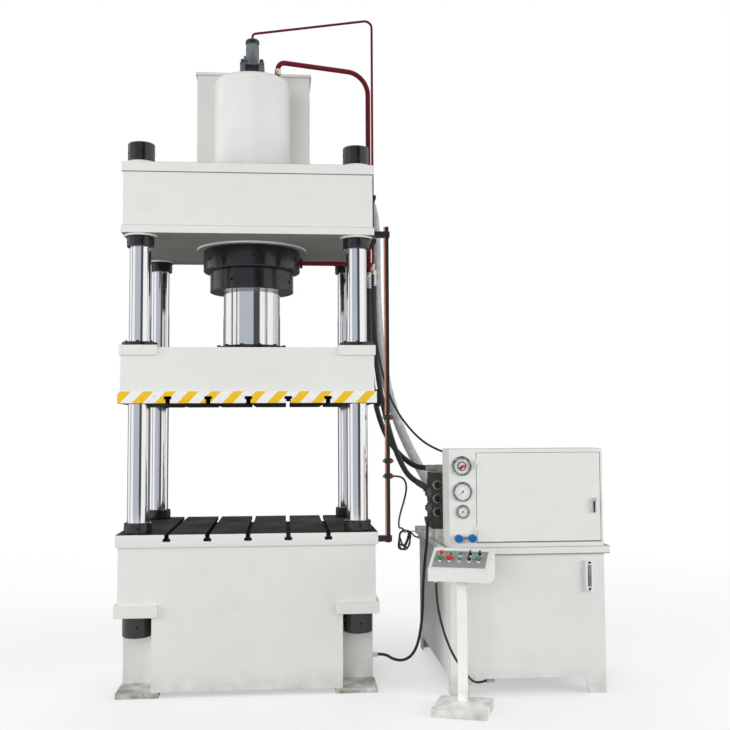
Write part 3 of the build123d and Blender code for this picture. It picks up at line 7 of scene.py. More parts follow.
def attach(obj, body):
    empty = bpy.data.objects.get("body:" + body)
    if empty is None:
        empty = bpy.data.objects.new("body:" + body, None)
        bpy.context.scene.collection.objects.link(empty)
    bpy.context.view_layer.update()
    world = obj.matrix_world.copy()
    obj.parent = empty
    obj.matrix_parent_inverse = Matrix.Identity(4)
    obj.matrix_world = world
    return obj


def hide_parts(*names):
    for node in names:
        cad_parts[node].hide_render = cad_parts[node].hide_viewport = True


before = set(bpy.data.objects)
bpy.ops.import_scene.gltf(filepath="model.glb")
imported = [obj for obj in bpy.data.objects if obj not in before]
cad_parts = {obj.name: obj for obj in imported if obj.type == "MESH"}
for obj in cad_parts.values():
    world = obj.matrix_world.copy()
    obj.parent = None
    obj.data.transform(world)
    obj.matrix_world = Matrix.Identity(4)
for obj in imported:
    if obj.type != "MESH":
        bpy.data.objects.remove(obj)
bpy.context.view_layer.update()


# Base of the press: a box of thick plates welded together, standing on four foot plates.
# It is shot-blasted, filled and sprayed with off-white machine enamel, which the whole
# machine shares, so the sprayed finish is made here.
class Value:
    """What a node puts out, with the arithmetic that adds Math nodes."""

    def __init__(self, finish, socket):
        self.finish = finish
        self.socket = socket

    def maths(self, operation, first, second):
        return self.finish.node("ShaderNodeMath", {"operation": operation}, (first, second))

    def __add__(self, other):
        return self.maths("ADD", self, other)

    def __sub__(self, other):
        return self.maths("SUBTRACT", self, other)

    def __rsub__(self, other):
        return self.maths("SUBTRACT", other, self)

    def __mul__(self, other):
        return self.maths("MULTIPLY", self, other)

    def __gt__(self, other):
        return self.maths("GREATER_THAN", self, other)

    def __lt__(self, other):
        return self.maths("LESS_THAN", self, other)

    __radd__ = __add__
    __rmul__ = __mul__

    def between(self, low, high):
        return (self > low) * (self < high)

    def size(self):
        return self.maths("ABSOLUTE", self, 0.0)

    def fraction(self):
        return self.maths("FRACT", self, 0.0)


class Finish:
    """One surface: a Principled material with the nodes that vary it."""

    def __init__(self, name, colour, **constants):
        self.material = bpy.data.materials.new(name)
        self.material.use_nodes = True
        self.nodes = self.material.node_tree.nodes
        self.links = self.material.node_tree.links
        self.shader = self.nodes["Principled BSDF"]
        self.shader.inputs["Base Color"].default_value = (*colour, 1)
        for socket, value in constants.items():
            self.shader.inputs[socket.replace("_", " ")].default_value = value
        self.place = self.node("ShaderNodeTexCoord", output="Object")

    def node(self, kind, settings=(), inputs=(), output=0):
        made = self.nodes.new(kind)
        for setting, value in dict(settings).items():
            setattr(made, setting, value)
        pairs = inputs.items() if isinstance(inputs, dict) else enumerate(inputs)
        for key, value in pairs:
            if isinstance(value, Value):
                self.links.new(value.socket, made.inputs[key])
            else:
                made.inputs[key].default_value = value
        return Value(self, made.outputs[output])

    def feed(self, socket, value):
        self.links.new(value.socket, self.shader.inputs[socket])

    def stretched(self, scale):
        return self.node("ShaderNodeMapping", {}, {"Vector": self.place, "Scale": scale})

    def noise(self, scale, detail=3.0, where=None, low=0.0, high=1.0):
        cloud = self.node(
            "ShaderNodeTexNoise",
            {},
            {"Vector": where or self.place, "Scale": scale, "Detail": detail},
        )
        return self.node("ShaderNodeMapRange", {}, (cloud, low, high, 0.0, 1.0))

    def mix(self, share, first, second):
        tones = [tone if isinstance(tone, Value) else (*tone, 1) for tone in (first, second)]
        sockets = {0: share, 6: tones[0], 7: tones[1]}
        return self.node("ShaderNodeMix", {"data_type": "RGBA"}, sockets, 2)

    def clouded(self, darker, paler, scale, detail=3.0, low=0.0, high=1.0):
        """Colours the surface in clouds of two tones, and gives the clouds back."""
        cloud = self.noise(scale, detail, low=low, high=high)
        self.feed("Base Color", self.mix(cloud, darker, paler))
        return cloud

    def either(self, first, second):
        return self.node("ShaderNodeMath", {"operation": "MAXIMUM"}, (first, second))

    def axis(self, name):
        return self.node("ShaderNodeSeparateXYZ", {}, (self.place,), output=name)

    def facing(self, name):
        normal = self.node("ShaderNodeNewGeometry", output="True Normal")
        return self.node("ShaderNodeSeparateXYZ", {}, (normal,), output=name)

    def bump(self, height, distance, strength):
        raised = self.node(
            "ShaderNodeBump", {}, {"Strength": strength, "Distance": distance, "Height": height}
        )
        self.feed("Normal", raised)


def sprayed(name, colour, roughness=0.46, dirt=0.5, coat=0.05, shade_lines=()):
    """Sprayed enamel: orange peel, cloudy tone, dull handled patches, floor dust, and painted shade
    on faces that point down and along seam lines.
    """
    hand_marks, pinholes, dust = (0.5, 0.47, 0.4), (0.1, 0.09, 0.08), (0.2, 0.17, 0.14)
    # Colours of the painted shade in seam lines and on faces that point down.
    seam_shade, underside_shade = (0.1, 0.1, 0.095), (0.22, 0.215, 0.2)
    paint = Finish(name, colour, Specular_IOR_Level=0.22, Coat_Roughness=0.3)
    cloud = paint.noise(1.3, 4.0, low=0.3, high=0.7)
    specks = paint.noise(60.0, 2.0, low=0.7, high=0.76)
    patches = paint.noise(7.0, 6.0, low=0.52, high=0.75)
    floor_dust = paint.node("ShaderNodeMapRange", {}, (paint.axis("Z"), 0.0, 0.16, 1.0, 0.0))
    dusty = floor_dust * paint.noise(11.0, 5.0, low=0.35, high=0.8) * dirt
    deeper = tuple(shade * 0.955 for shade in colour)
    tone = paint.mix(cloud, deeper, colour)
    tone = paint.mix(patches * 0.1, tone, hand_marks)
    tone = paint.mix(specks * 0.35 * dirt, tone, pinholes)
    tone = paint.mix(dusty, tone, dust)
    # Each given band is darkened with painted shade, as in a gap or crease.
    for low, high, left, right in shade_lines:
        shade_line = paint.axis("Z").between(low, high) * paint.axis("X").between(left, right)
        tone = paint.mix(shade_line * 0.8, tone, seam_shade)
    # Faces that point down take painted shade in their colour, and a rougher coat.
    under = paint.facing("Z") < -0.5
    paint.colour = paint.mix(under * 0.75, tone, underside_shade)
    paint.feed("Base Color", paint.colour)
    paint.feed("Roughness", patches * 0.16 + dusty * 0.3 + under * 0.4 + roughness)
    paint.shader.inputs["Coat Weight"].default_value = coat
    peel = paint.noise(260.0, 2.0) + paint.noise(34.0, 2.0) * 0.5
    paint.bump(peel, 0.0006, 0.35)
    return paint


def soften(node, finish, width=0.003, segments=2, split=35):
    """Gives a CAD node its finish and takes the sharpness off its edges."""
    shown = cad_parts[node]
    shown.data.materials.clear()
    shown.data.materials.append(finish.material)
    shown.data.shade_smooth()
    weld = shown.modifiers.new("joined", "WELD")
    weld.merge_threshold = 0.00002
    if width > 0:
        edge = shown.modifiers.new("broken edge", "BEVEL")
        edge.width = width
        edge.segments = segments
        edge.limit_method = "ANGLE"
        edge.angle_limit = math.radians(40)
        edge.use_clamp_overlap = True
        flatter = shown.modifiers.new("true faces", "WEIGHTED_NORMAL")
        flatter.mode = "FACE_AREA_WITH_ANGLE"
    else:
        parted = shown.modifiers.new("sharp edges", "EDGE_SPLIT")
        parted.split_angle = math.radians(split)


off_white = (0.74, 0.745, 0.71)
white_enamel = sprayed("off_white_enamel", off_white)
for part in ("base_frame", "column_seats"):
    soften(part, white_enamel)
soften("foot_plates", sprayed("foot_enamel", (0.7, 0.7, 0.665), 0.55, 1.3, 0.0))


# Table: a thick steel plate, milled flat and cut with T-slots, painted on its edges only.
# The milled top and slots are darkened by oil, with paler cutter marks and scratches.
def milled(name, edge_x, edge_y):
    """Milled and oil-darkened steel, with enamel on the outer edges of the plate."""
    plate = Finish(name, (0.1, 0.1, 0.1), Specular_IOR_Level=0.08)
    marks = plate.noise(3.0, 2.0, where=plate.stretched((1.0, 60.0, 60.0)), low=0.3, high=0.7)
    oil = plate.noise(4.5, 6.0, low=0.35, high=0.7)
    scratches = plate.noise(9.0, 3.0, where=plate.stretched((18.0, 1.2, 1.0)), low=0.66, high=0.7)
    steel = plate.mix(oil, (0.034, 0.03, 0.029), (0.012, 0.011, 0.01))
    steel = plate.mix(marks * 0.12, steel, (0.12, 0.11, 0.105))
    steel = plate.mix(scratches * 0.22, steel, (0.24, 0.23, 0.22))
    enamel = plate.mix(plate.noise(1.3, 4.0), (0.705, 0.71, 0.68), off_white)
    film = 0.0006
    across, deep = plate.axis("X").size(), plate.axis("Y").size()
    edge = plate.either(across > edge_x - film, deep > edge_y - film)
    plate.colour = plate.mix(edge, steel, enamel)
    plate.feed("Base Color", plate.colour)
    plate.feed("Roughness", oil * 0.14 + 0.62 - edge * 0.2)
    plate.bump(marks + scratches * 0.5, 0.0004, 0.4)
    return plate


soften("table_plate", milled("milled_table_steel", 0.78, 0.59), 0.0012, 1)


# Columns: four ground bars, hard chromed, that guide the slide and tie table to crown.
# The chrome keeps a faint film of oil in long streaks, which also darken it as a painted reflection
# of dark surroundings, and their turned ends are bare.
def chromed(name, colour, film):
    chrome = Finish(name, colour, Metallic=1.0)
    oil_and_reflection_streaks = chrome.noise(9.0, 4.0, where=chrome.stretched((7.0, 7.0, 0.25)), low=0.35, high=0.75)
    hone = chrome.noise(40.0, 2.0, where=chrome.stretched((1.0, 1.0, 24.0)))
    darker = tuple(shade * 0.86 for shade in colour)
    ends = chrome.facing("Z").size() > 0.9
    # The streaks darken the chrome: oil film, and painted reflection of dark surroundings.
    tone = chrome.mix(oil_and_reflection_streaks * film, colour, darker)
    chrome.feed("Base Color", chrome.mix(ends, tone, (0.22, 0.215, 0.21)))
    chrome.feed("Roughness", oil_and_reflection_streaks * 0.06 * film + hone * 0.012 + ends * 0.4 + 0.05)
    return chrome


soften("columns", chromed("column_chrome", (0.88, 0.88, 0.885), 0.35), 0.002)


# Column nuts: turned steel rings with a chamfer at each end, drilled for the tommy bar
# that tightens them, and brushed with black enamel.
def blackened(name, colour=(0.006, 0.006, 0.007), roughness=0.22):
    enamel = Finish(name, colour, Coat_Roughness=0.12, Specular_IOR_Level=0.5)
    dust = enamel.noise(14.0, 6.0, low=0.5, high=0.9)
    brush = enamel.noise(30.0, 3.0, where=enamel.stretched((1.0, 1.0, 5.0)), low=0.3, high=0.7)
    enamel.feed("Base Color", enamel.mix(dust * 0.4, colour, (0.03, 0.029, 0.028)))
    enamel.feed("Roughness", dust * 0.3 + brush * 0.06 + roughness)
    enamel.shader.inputs["Coat Weight"].default_value = 0.35
    enamel.bump(brush, 0.0004, 0.12)
    return enamel


def linked(name, data):
    """Puts new data into the scene as an object."""
    made = bpy.data.objects.new(name, data)
    bpy.context.scene.collection.objects.link(made)
    return made


def collected(name, shape, finish, replaced=(), body="press"):
    """Makes a finished piece of a bmesh, and lets it ride on a body."""
    data = bpy.data.meshes.new(name)
    shape.to_mesh(data)
    shape.free()
    data.materials.append(finish.material)
    data.shade_smooth()
    data.set_sharp_from_angle(angle=math.radians(35))
    made = linked(name, data)
    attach(made, body)
    if replaced:
        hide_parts(*replaced)


def placed(whole, part, matrix):
    """Turns a part's faces outwards, moves it into place and adds it to the whole piece."""
    bmesh.ops.recalc_face_normals(part, faces=part.faces)
    part.transform(matrix)
    data = bpy.data.meshes.new("part")
    part.to_mesh(data)
    part.free()
    whole.from_mesh(data)
    bpy.data.meshes.remove(data)
    return whole


def turned(profile, steps):
    """Spins a closed outline of (radius, height) about Z, as on a lathe."""
    shape = bmesh.new()
    points = [shape.verts.new((radius, 0, height)) for radius, height in profile]
    edges = [shape.edges.new(pair) for pair in zip(points, points[1:] + points[:1])]
    bmesh.ops.spin(
        shape,
        geom=points + edges,
        cent=(0, 0, 0),
        axis=(0, 0, 1),
        angle=2 * math.pi,
        steps=steps,
        use_merge=True,
    )
    bmesh.ops.remove_doubles(shape, verts=shape.verts, dist=0.000005)
    bmesh.ops.dissolve_degenerate(shape, edges=shape.edges, dist=0.000002)
    return shape


def at(x, y, z):
    return Matrix.Translation((x, y, z))


def aimed(point, direction):
    """Puts a part's Z axis along a direction, at a point."""
    turn = Vector(direction).to_track_quat("Z", "Y").to_matrix().to_4x4()
    return Matrix.Translation(point) @ turn


def ring_profile(outer, inner, height, bevel):
    """Outline of a bored ring with both outer edges bevelled."""
    outline = [(inner, 0), (outer - bevel, 0), (outer, bevel)]
    return outline + [(outer, height - bevel), (outer - bevel, height), (inner, height)]


def hole_mark(inner, outer, lip):
    """Outline of a thin dark disc laid on a surface: painted shade for the mouth of a drilled hole.
    """
    return [(0, 0), (inner, 0), (outer, lip), (outer, lip + 0.0006), (0, 0.0004)]


def toward(degrees):
    return math.cos(math.radians(degrees)), math.sin(math.radians(degrees))


def grained(name, colour, grain, spread, smoothest, **constants):
    """One colour whose gloss varies with a fine grain, as on plastic, rubber and print."""
    plain = Finish(name, colour, **constants)
    plain.feed("Roughness", plain.noise(grain) * spread + smoothest)
    return plain


black_enamel = blackened("black_enamel")
column_corners = [(x, y) for x in (-0.663, 0.663) for y in (-0.48, 0.48)]
nut_bore = 0.0652
hole_sink = 0.0004
nuts = bmesh.new()
tommy_holes = bmesh.new()
for bottom, height, radius in (
    (0.341, 0.125, 0.087),
    (0.95, 0.065, 0.0825),
    (2.685, 0.065, 0.0825),
    (3.21, 0.12, 0.082),
):
    for x, y in column_corners:
        placed(nuts, turned(ring_profile(radius, nut_bore, height, 0.005), 56), at(x, y, bottom))
        for step in range(4):
            across, back = toward(90 * step - 80)
            reach = radius - hole_sink
            spot = (x + across * reach, y + back * reach, bottom + height / 2)
            hole = turned(hole_mark(0.0065, 0.0075, 0.0006), 16)
            placed(tommy_holes, hole, aimed(spot, (across, back, 0)))
collected("column_nuts_turned", nuts, black_enamel, ("column_nuts",))
# The dark discs in the tommy holes and spanner holes are painted shade, for the insides of the
# holes.
hole_shade = grained("painted_hole_shade", (0.003, 0.003, 0.003), 80.0, 0.2, 0.75)
collected("column_nut_holes", tommy_holes, hole_shade)


# Crown: closed box of plates, top and bottom plates standing proud of the body.
# Round white pads under the nuts are machined flat and painted with it.
# Thin bands of painted shade under the top plate's overhang and in the crease above the bottom
# plate.
crown_shade_lines = ((3.136, 3.1395, -1, 1), (2.8085, 2.811, -1, 1))
soften("crown", sprayed("crown_enamel", off_white, shade_lines=crown_shade_lines), 0.0035)


# Main cylinder: forged barrel, turned and sprayed with the frame. Its ring nut under the
# crown and the bolted gland flange below it are black, and each is drilled for a hook spanner.
soften("main_cylinder", sprayed("barrel_enamel", (0.75, 0.755, 0.73), 0.36, 0.25, 0.3), 0.0)
soften("cylinder_lock_nut", black_enamel)
soften("gland_flange", black_enamel)
ring_holes = bmesh.new()
for radius, height, count in ((0.32, 2.68, 6), (0.276, 2.535, 4)):
    for step in range(count):
        across, back = toward(360 / count * step - 26)
        reach = radius - hole_sink
        hole = turned(hole_mark(0.009, 0.0105, 0.0008), 20)
        placed(ring_holes, hole, aimed((across * reach, back * reach, height), (across, back, 0)))
collected("ring_nut_holes", ring_holes, hole_shade)
soften("ram_seals", grained("seal_rubber", (0.02, 0.02, 0.02), 120.0, 0.2, 0.5), 0.0)


# Ram: one ground and chromed forging. A split flange in its groove is screwed down onto
# the slide.
def screw_head(radius, height):
    """Socket screw head, with its edge broken and a blind socket."""
    inner = radius * 0.5
    outline = [(0, height * 0.4), (inner, height * 0.4), (inner, height), (radius * 0.9, height)]
    return turned(outline + [(radius, height * 0.9), (radius, 0), (0, 0)], 18)


soften("ram", chromed("ram_chrome", (0.86, 0.865, 0.875), 0.5), 0.001)
flange_outline = [(0.1877, 2.0672), (0.2375, 2.0672), (0.239, 2.069), (0.239, 2.108)]
flange_outline += [(0.236, 2.111), (0.204, 2.111), (0.201, 2.1185), (0.1877, 2.1185)]
split_flange = placed(bmesh.new(), turned(flange_outline, 72), at(0, 0, 0))
collected("ram_split_flange", split_flange, black_enamel, ("ram_flange",), "slide")
flange_circle = 0.22
flange_screws = bmesh.new()
for step in range(12):
    across, back = toward(30 * step + 15)
    spot = at(flange_circle * across, flange_circle * back, 2.1105)
    placed(flange_screws, screw_head(0.013, 0.012), spot)
collected("ram_flange_screws", flange_screws, black_enamel, body="slide")


# Slide: welded beam with corner pads, guided by bronze bushes under black covers.
# The T-slotted plate below it wears yellow and white warning bars along its front edge.
soften("slide_beam", white_enamel)
bronze = Finish("bush_bronze", (0.5, 0.3, 0.12), Metallic=1.0)
bronze.feed("Roughness", bronze.noise(50.0, 3.0, where=bronze.stretched((1, 1, 20))) * 0.2 + 0.25)
soften("guide_bushes", bronze, 0.0)
soften("bush_covers", black_enamel, 0.0)
cover_circle = 0.086
cover_screws = bmesh.new()
for x, y in column_corners:
    for step in range(6):
        across, back = toward(60 * step + 30)
        spot = at(x + cover_circle * across, y + cover_circle * back, 2.1018)
        placed(cover_screws, screw_head(0.009, 0.009), spot)
collected("bush_cover_screws", cover_screws, black_enamel, body="slide")

slide_steel = milled("milled_slide_steel", 0.777, 0.59)
plate_top_share = slide_steel.facing("Z") > 0.5
warning = slide_steel.mix(plate_top_share, slide_steel.colour, off_white)
bar_pitch = 0.1337
bar_lean = 0.92
tape_left, tape_top = -0.6915, 1.728
first_bar = tape_left - bar_lean * tape_top
lean = slide_steel.axis("X") - slide_steel.axis("Z") * bar_lean
bars = (lean - first_bar) * (1 / bar_pitch) + 10.0
yellow = slide_steel.mix(slide_steel.noise(9.0, 4.0), (0.76, 0.46, 0.02), (0.82, 0.52, 0.03))
tape = slide_steel.mix(bars.fraction() < 0.47, (0.8, 0.8, 0.78), yellow)
rubbed = slide_steel.noise(26.0, 5.0, low=0.58, high=0.8)
tape = slide_steel.mix(rubbed * 0.4, tape, (0.45, 0.42, 0.36))
front = (slide_steel.axis("Y") < -0.5893) * (slide_steel.facing("Y") < -0.5)
slide_steel.feed("Base Color", slide_steel.mix(front, warning, tape))
soften("slide_plate", slide_steel, 0.0012, 1)
soften("striker", black_enamel, 0.001)


# Filling valve on the cylinder head: phosphated steel block with four long screws, a
# round valve body with a side port, and a black cap where the pilot pipe enters.
def phosphated(name, colour, metallic):
    """Phosphated steel: cloudy, fine-grained and half dull."""
    steel = Finish(name, colour, Metallic=metallic)
    grain = steel.noise(90.0, 4.0)
    cloud = steel.noise(12.0, 5.0, low=0.35, high=0.7)
    lighter = tuple(shade * 1.5 for shade in colour)
    steel.colour = steel.mix(cloud, colour, lighter)
    steel.feed("Base Color", steel.colour)
    steel.feed("Roughness", grain * 0.2 + 0.36)
    steel.bump(grain, 0.0006, 0.25)
    return steel


def break_edges(shape, width, segments):
    bmesh.ops.bevel(
        shape,
        geom=list(shape.edges),
        offset=width,
        segments=segments,
        profile=0.5,
        affect="EDGES",
        material=-1,
    )


def block(size, broken, segments=2):
    """Square-cut block or plate, with its edges broken."""
    shape = bmesh.new()
    bmesh.ops.create_cube(shape, size=1)
    bmesh.ops.scale(shape, vec=size, verts=shape.verts)
    break_edges(shape, broken, segments)
    return shape


valve_steel = phosphated("phosphated_steel", (0.15, 0.16, 0.17), 0.6)
valve_mid = phosphated("phosphated_mid_steel", (0.085, 0.092, 0.105), 0.3)
# The block takes a much darker copy of the same steel: painted shade for its recessed waist between
# the sleeves.
valve_shaded = phosphated("phosphated_steel_painted_shade", (0.03, 0.033, 0.042), 0.3)
valve_block = bmesh.new()
placed(valve_block, block((0.166, 0.166, 0.044), 0.004), at(0, 0, 3.927))
placed(valve_block, block((0.104, 0.104, 0.06), 0.006), at(0, 0, 3.979))
sleeves = bmesh.new()
placed(sleeves, block((0.162, 0.162, 0.0145), 0.002), at(0, 0, 4.0158))
sleeve_screws = bmesh.new()
screw_offset = 0.062
for x in (-screw_offset, screw_offset):
    for y in (-screw_offset, screw_offset):
        placed(sleeves, turned(ring_profile(0.019, 0.004, 0.06, 0.002), 24), at(x, y, 3.949))
        placed(sleeve_screws, screw_head(0.0145, 0.024), at(x, y, 4.0228))
prefill = ("prefill_valve",)
collected("filling_valve_block", valve_block, valve_shaded, prefill)
collected("filling_valve_sleeves", sleeves, valve_mid)
collected("filling_valve_screws", sleeve_screws, black_enamel)
body_outline = [(0, 4.0228), (0.034, 4.0228), (0.034, 4.046), (0.043, 4.062), (0.044, 4.07)]
body_outline += [(0.044, 4.158), (0.041, 4.163), (0.041, 4.172), (0.0, 4.172)]
port_outline = [(0, 0), (0.026, 0), (0.026, 0.05), (0.023, 0.053), (0, 0.053)]
valve_body = bmesh.new()
placed(valve_body, turned(body_outline, 48), at(0, 0, 0))
placed(valve_body, turned(port_outline, 28), aimed((-0.005, 0, 4.069), (-1, 0, 0)))
collected("filling_valve_body", valve_body, valve_steel)
cap_outline = [(0, 4.172), (0.045, 4.172), (0.047, 4.175), (0.047, 4.196)]
cap_outline += [(0.04, 4.2045), (0, 4.2045)]
valve_cap = placed(bmesh.new(), turned(cap_outline, 48), at(0, 0, 0))
collected("filling_valve_cap", valve_cap, black_enamel)


# Filling tank behind the cylinder: folded sheet with an overhanging lid. It wears the
# white enamel of the frame.
soften("fill_tank", white_enamel, 0.002)


# Steel pipes: drawn tube bent cold and brushed with gloss maroon enamel, joined by
# yellow-plated unions and held to the crown by clamps.
maroon = Finish("maroon_enamel", (0.135, 0.006, 0.012), Specular_IOR_Level=0.25)
runs = maroon.clouded((0.095, 0.002, 0.008), (0.14, 0.003, 0.013), 7.0, 3.0, 0.3, 0.75)
maroon.feed("Roughness", runs * 0.08 + 0.3)
soften("steel_pipes", maroon, 0.0, split=65)

zinc = Finish("yellow_zinc_plate", (0.66, 0.61, 0.47), Metallic=0.8)
rainbow = zinc.clouded((0.66, 0.6, 0.44), (0.76, 0.74, 0.66), 25.0, 4.0, 0.3, 0.7)
zinc.feed("Roughness", rainbow * 0.15 + 0.24)
bright_zinc = Finish("bright_zinc_plate", (0.62, 0.63, 0.65), Metallic=1.0)
spangle = bright_zinc.clouded((0.55, 0.56, 0.58), (0.68, 0.69, 0.71), 30.0, 4.0, 0.3, 0.7)
bright_zinc.feed("Roughness", spangle * 0.15 + 0.22)


def union_nut(radius, length):
    """Hexagon union nut with a round collar at each end."""
    shape = bmesh.new()
    bmesh.ops.create_cone(
        shape, cap_ends=True, segments=6, radius1=radius, radius2=radius, depth=length * 0.62
    )
    bmesh.ops.translate(shape, verts=shape.verts, vec=(0, 0, length / 2))
    break_edges(shape, radius * 0.06, 1)
    collar = [(0, 0), (radius * 0.8, 0), (radius * 0.84, length * 0.03)]
    collar += [(radius * 0.84, length * 0.97), (radius * 0.8, length), (0, length)]
    placed(shape, turned(collar, 28), at(0, 0, 0))
    return shape


def ferrule(radius, length):
    """Crimped hose ferrule with three pressed bands."""
    outline = [(0, 0), (radius * 0.93, 0), (radius, length * 0.04)]
    for band in range(3):
        start = 0.18 + 0.25 * band
        outline += [(radius, length * start), (radius * 0.93, length * (start + 0.03))]
        outline += [(radius * 0.93, length * (start + 0.11)), (radius, length * (start + 0.14))]
    outline += [(radius, length * 0.97), (radius * 0.9, length), (0, length)]
    return turned(outline, 32)


unions = bmesh.new()
for radius, length, spot in (
    (0.0245, 0.042, (0.172, 0, 3.967)),
    (0.025, 0.04, (0.8, 0.19, 2.61)),
    (0.022, 0.04, (0.822, 0.06, 2.61)),
    (0.013, 0.04, (0.812, 0, 2.64)),
):
    placed(unions, union_nut(radius, length), at(*spot))
collected("union_nuts", unions, zinc, ("pipe_fittings",))
ferrules = bmesh.new()
placed(ferrules, ferrule(0.021, 0.07), at(0.8, 0.19, 2.54))
placed(ferrules, ferrule(0.021, 0.07), at(0.822, 0.06, 2.54))
placed(ferrules, ferrule(0.01, 0.03), at(0.812, 0, 2.61))
collected("hose_ferrules", ferrules, bright_zinc)
clamp_plastic = grained("clamp_plastic", (0.01, 0.016, 0.014), 60.0, 0.2, 0.38)
clamps = bmesh.new()
for bottom in (2.824, 3.122):
    placed(clamps, block((0.066, 0.26, 0.026), 0.004), at(0.801, 0.108, bottom + 0.013))
collected("pipe_clamps", clamps, clamp_plastic)


# Switch bar: square tube in black enamel with a bare copper rod beside it, on brackets
# from crown and table. Three proximity switches are clamped to it.
bar_black = (0.012, 0.012, 0.013)
bar_enamel = Finish("bar_enamel_and_copper", bar_black)
on_rod = bar_enamel.axis("X").between(0.8355, 0.8472)
on_rod = on_rod * bar_enamel.axis("Y").between(-0.4765, -0.4635)
dull = bar_enamel.noise(40.0, 4.0, low=0.3, high=0.7)
copper = bar_enamel.mix(dull, (0.8, 0.4, 0.33), (0.62, 0.28, 0.23))
bar_enamel.feed("Base Color", bar_enamel.mix(on_rod, bar_black, copper))
bar_enamel.feed("Metallic", on_rod * 0.3)
bar_enamel.feed("Roughness", dull * 0.15 + 0.3)
soften("switch_bar", bar_enamel, 0.001)
switch_case = grained("switch_case", (0.015, 0.015, 0.016), 70.0, 0.2, 0.35)
soften("proximity_switches", switch_case, 0.0008)
tip_outline = [(0, 0), (0.0086, 0), (0.0094, 0.001), (0.0094, 0.01), (0, 0.01)]
cap_outline = [(0, 0), (0.0098, 0), (0.0098, 0.01), (0.007, 0.016), (0, 0.016)]
switch_tips = bmesh.new()
switch_caps = bmesh.new()
for height in (1.278, 1.372, 1.64):
    placed(switch_tips, turned(tip_outline, 24), aimed((0.8312, -0.489, height), (-1, 0, 0)))
    placed(switch_caps, turned(cap_outline, 24), aimed((0.871, -0.489, height), (1, 0, 0)))
tip_plastic = grained("switch_tip_plastic", (0.02, 0.32, 0.12), 90.0, 0.2, 0.3)
cap_plastic = grained("switch_cap_plastic", (0.42, 0.03, 0.025), 90.0, 0.2, 0.3)
collected("switch_tips", switch_tips, tip_plastic)
collected("switch_caps", switch_caps, cap_plastic)


# Oil tank: folded and welded sheet on four angle legs, with a tray-like cover. The level
# gauge on its front is an aluminium frame with a sight glass and two hollow screws.
tank_white = (0.73, 0.74, 0.71)
soften("oil_tank", sprayed("tank_enamel", tank_white, 0.46, 0.6), 0.002)
# Painted shade in two bands: under the cover's lip, and in the crease where the cabinet meets the
# cover.
cover_shade_lines = ((0.8195, 0.825, 1, 3), (0.862, 0.865, 1, 3))
cover_enamel = sprayed("cover_enamel", tank_white, 0.46, 0.6, shade_lines=cover_shade_lines)
soften("tank_cover", cover_enamel, 0.0015)
cast_alloy = Finish("cast_alloy", (0.78, 0.78, 0.77))
alloy_grain = cast_alloy.clouded((0.74, 0.74, 0.73), (0.82, 0.82, 0.81), 80.0, 4.0)
cast_alloy.feed("Roughness", alloy_grain * 0.2 + 0.3)
to_front = (0, -1, 0)
level_x, level_front = 2.028, -0.753


def pushed(shape, extruded, depth):
    """Moves what an extrusion has made along Z."""
    moved = [part for part in extruded["geom"] if isinstance(part, bmesh.types.BMVert)]
    bmesh.ops.translate(shape, vec=(0, 0, depth), verts=moved)


def puck(radius, low, high, steps):
    return turned([(0, low), (radius, low), (radius, high), (0, high)], steps)


plate = bmesh.new()
bmesh.ops.create_grid(plate, x_segments=1, y_segments=1, size=0.5)
bmesh.ops.scale(plate, vec=(0.042, 0.18, 1), verts=plate.verts)
border = bmesh.ops.inset_region(
    plate, faces=list(plate.faces), thickness=0.0125, use_boundary=True
)
window = [face for face in plate.faces if face not in border["faces"]]
for vertex in {v for face in window for v in face.verts}:
    vertex.co.y *= 0.124 / 0.155
pushed(plate, bmesh.ops.extrude_face_region(plate, geom=window), -0.012)
bmesh.ops.delete(plate, geom=window, context="FACES")
rim = [edge for edge in plate.edges if edge.is_boundary]
pushed(plate, bmesh.ops.extrude_edge_only(plate, edges=rim), -0.0215)
bmesh.ops.recalc_face_normals(plate, faces=plate.faces)
level_frame = placed(bmesh.new(), plate, aimed((level_x, level_front, 0.69), to_front))
collected("level_gauge_frame", level_frame, cast_alloy, ("level_gauge",))
level_screws = bmesh.new()
for height in (0.6125, 0.7675):
    spot = (level_x, level_front, height)
    placed(level_screws, screw_head(0.0078, 0.004), aimed(spot, to_front))
collected("level_gauge_screws", level_screws, black_enamel)
sight_glass = Finish("sight_glass", (0.035, 0.045, 0.05), Roughness=0.2, Specular_IOR_Level=0.3)
marks = (sight_glass.axis("Z") * 95.0).fraction()
oil_line = sight_glass.mix(sight_glass.axis("Z") > 0.7, (0.19, 0.185, 0.175), (0.28, 0.29, 0.32))
sight_glass.feed("Base Color", sight_glass.mix((marks < 0.28) * 0.6, oil_line, (0.05, 0.05, 0.06)))
sight = placed(bmesh.new(), puck(0.0085, 0, 0.122, 24), at(level_x, -0.744, 0.629))
collected("level_sight_tube", sight, sight_glass)


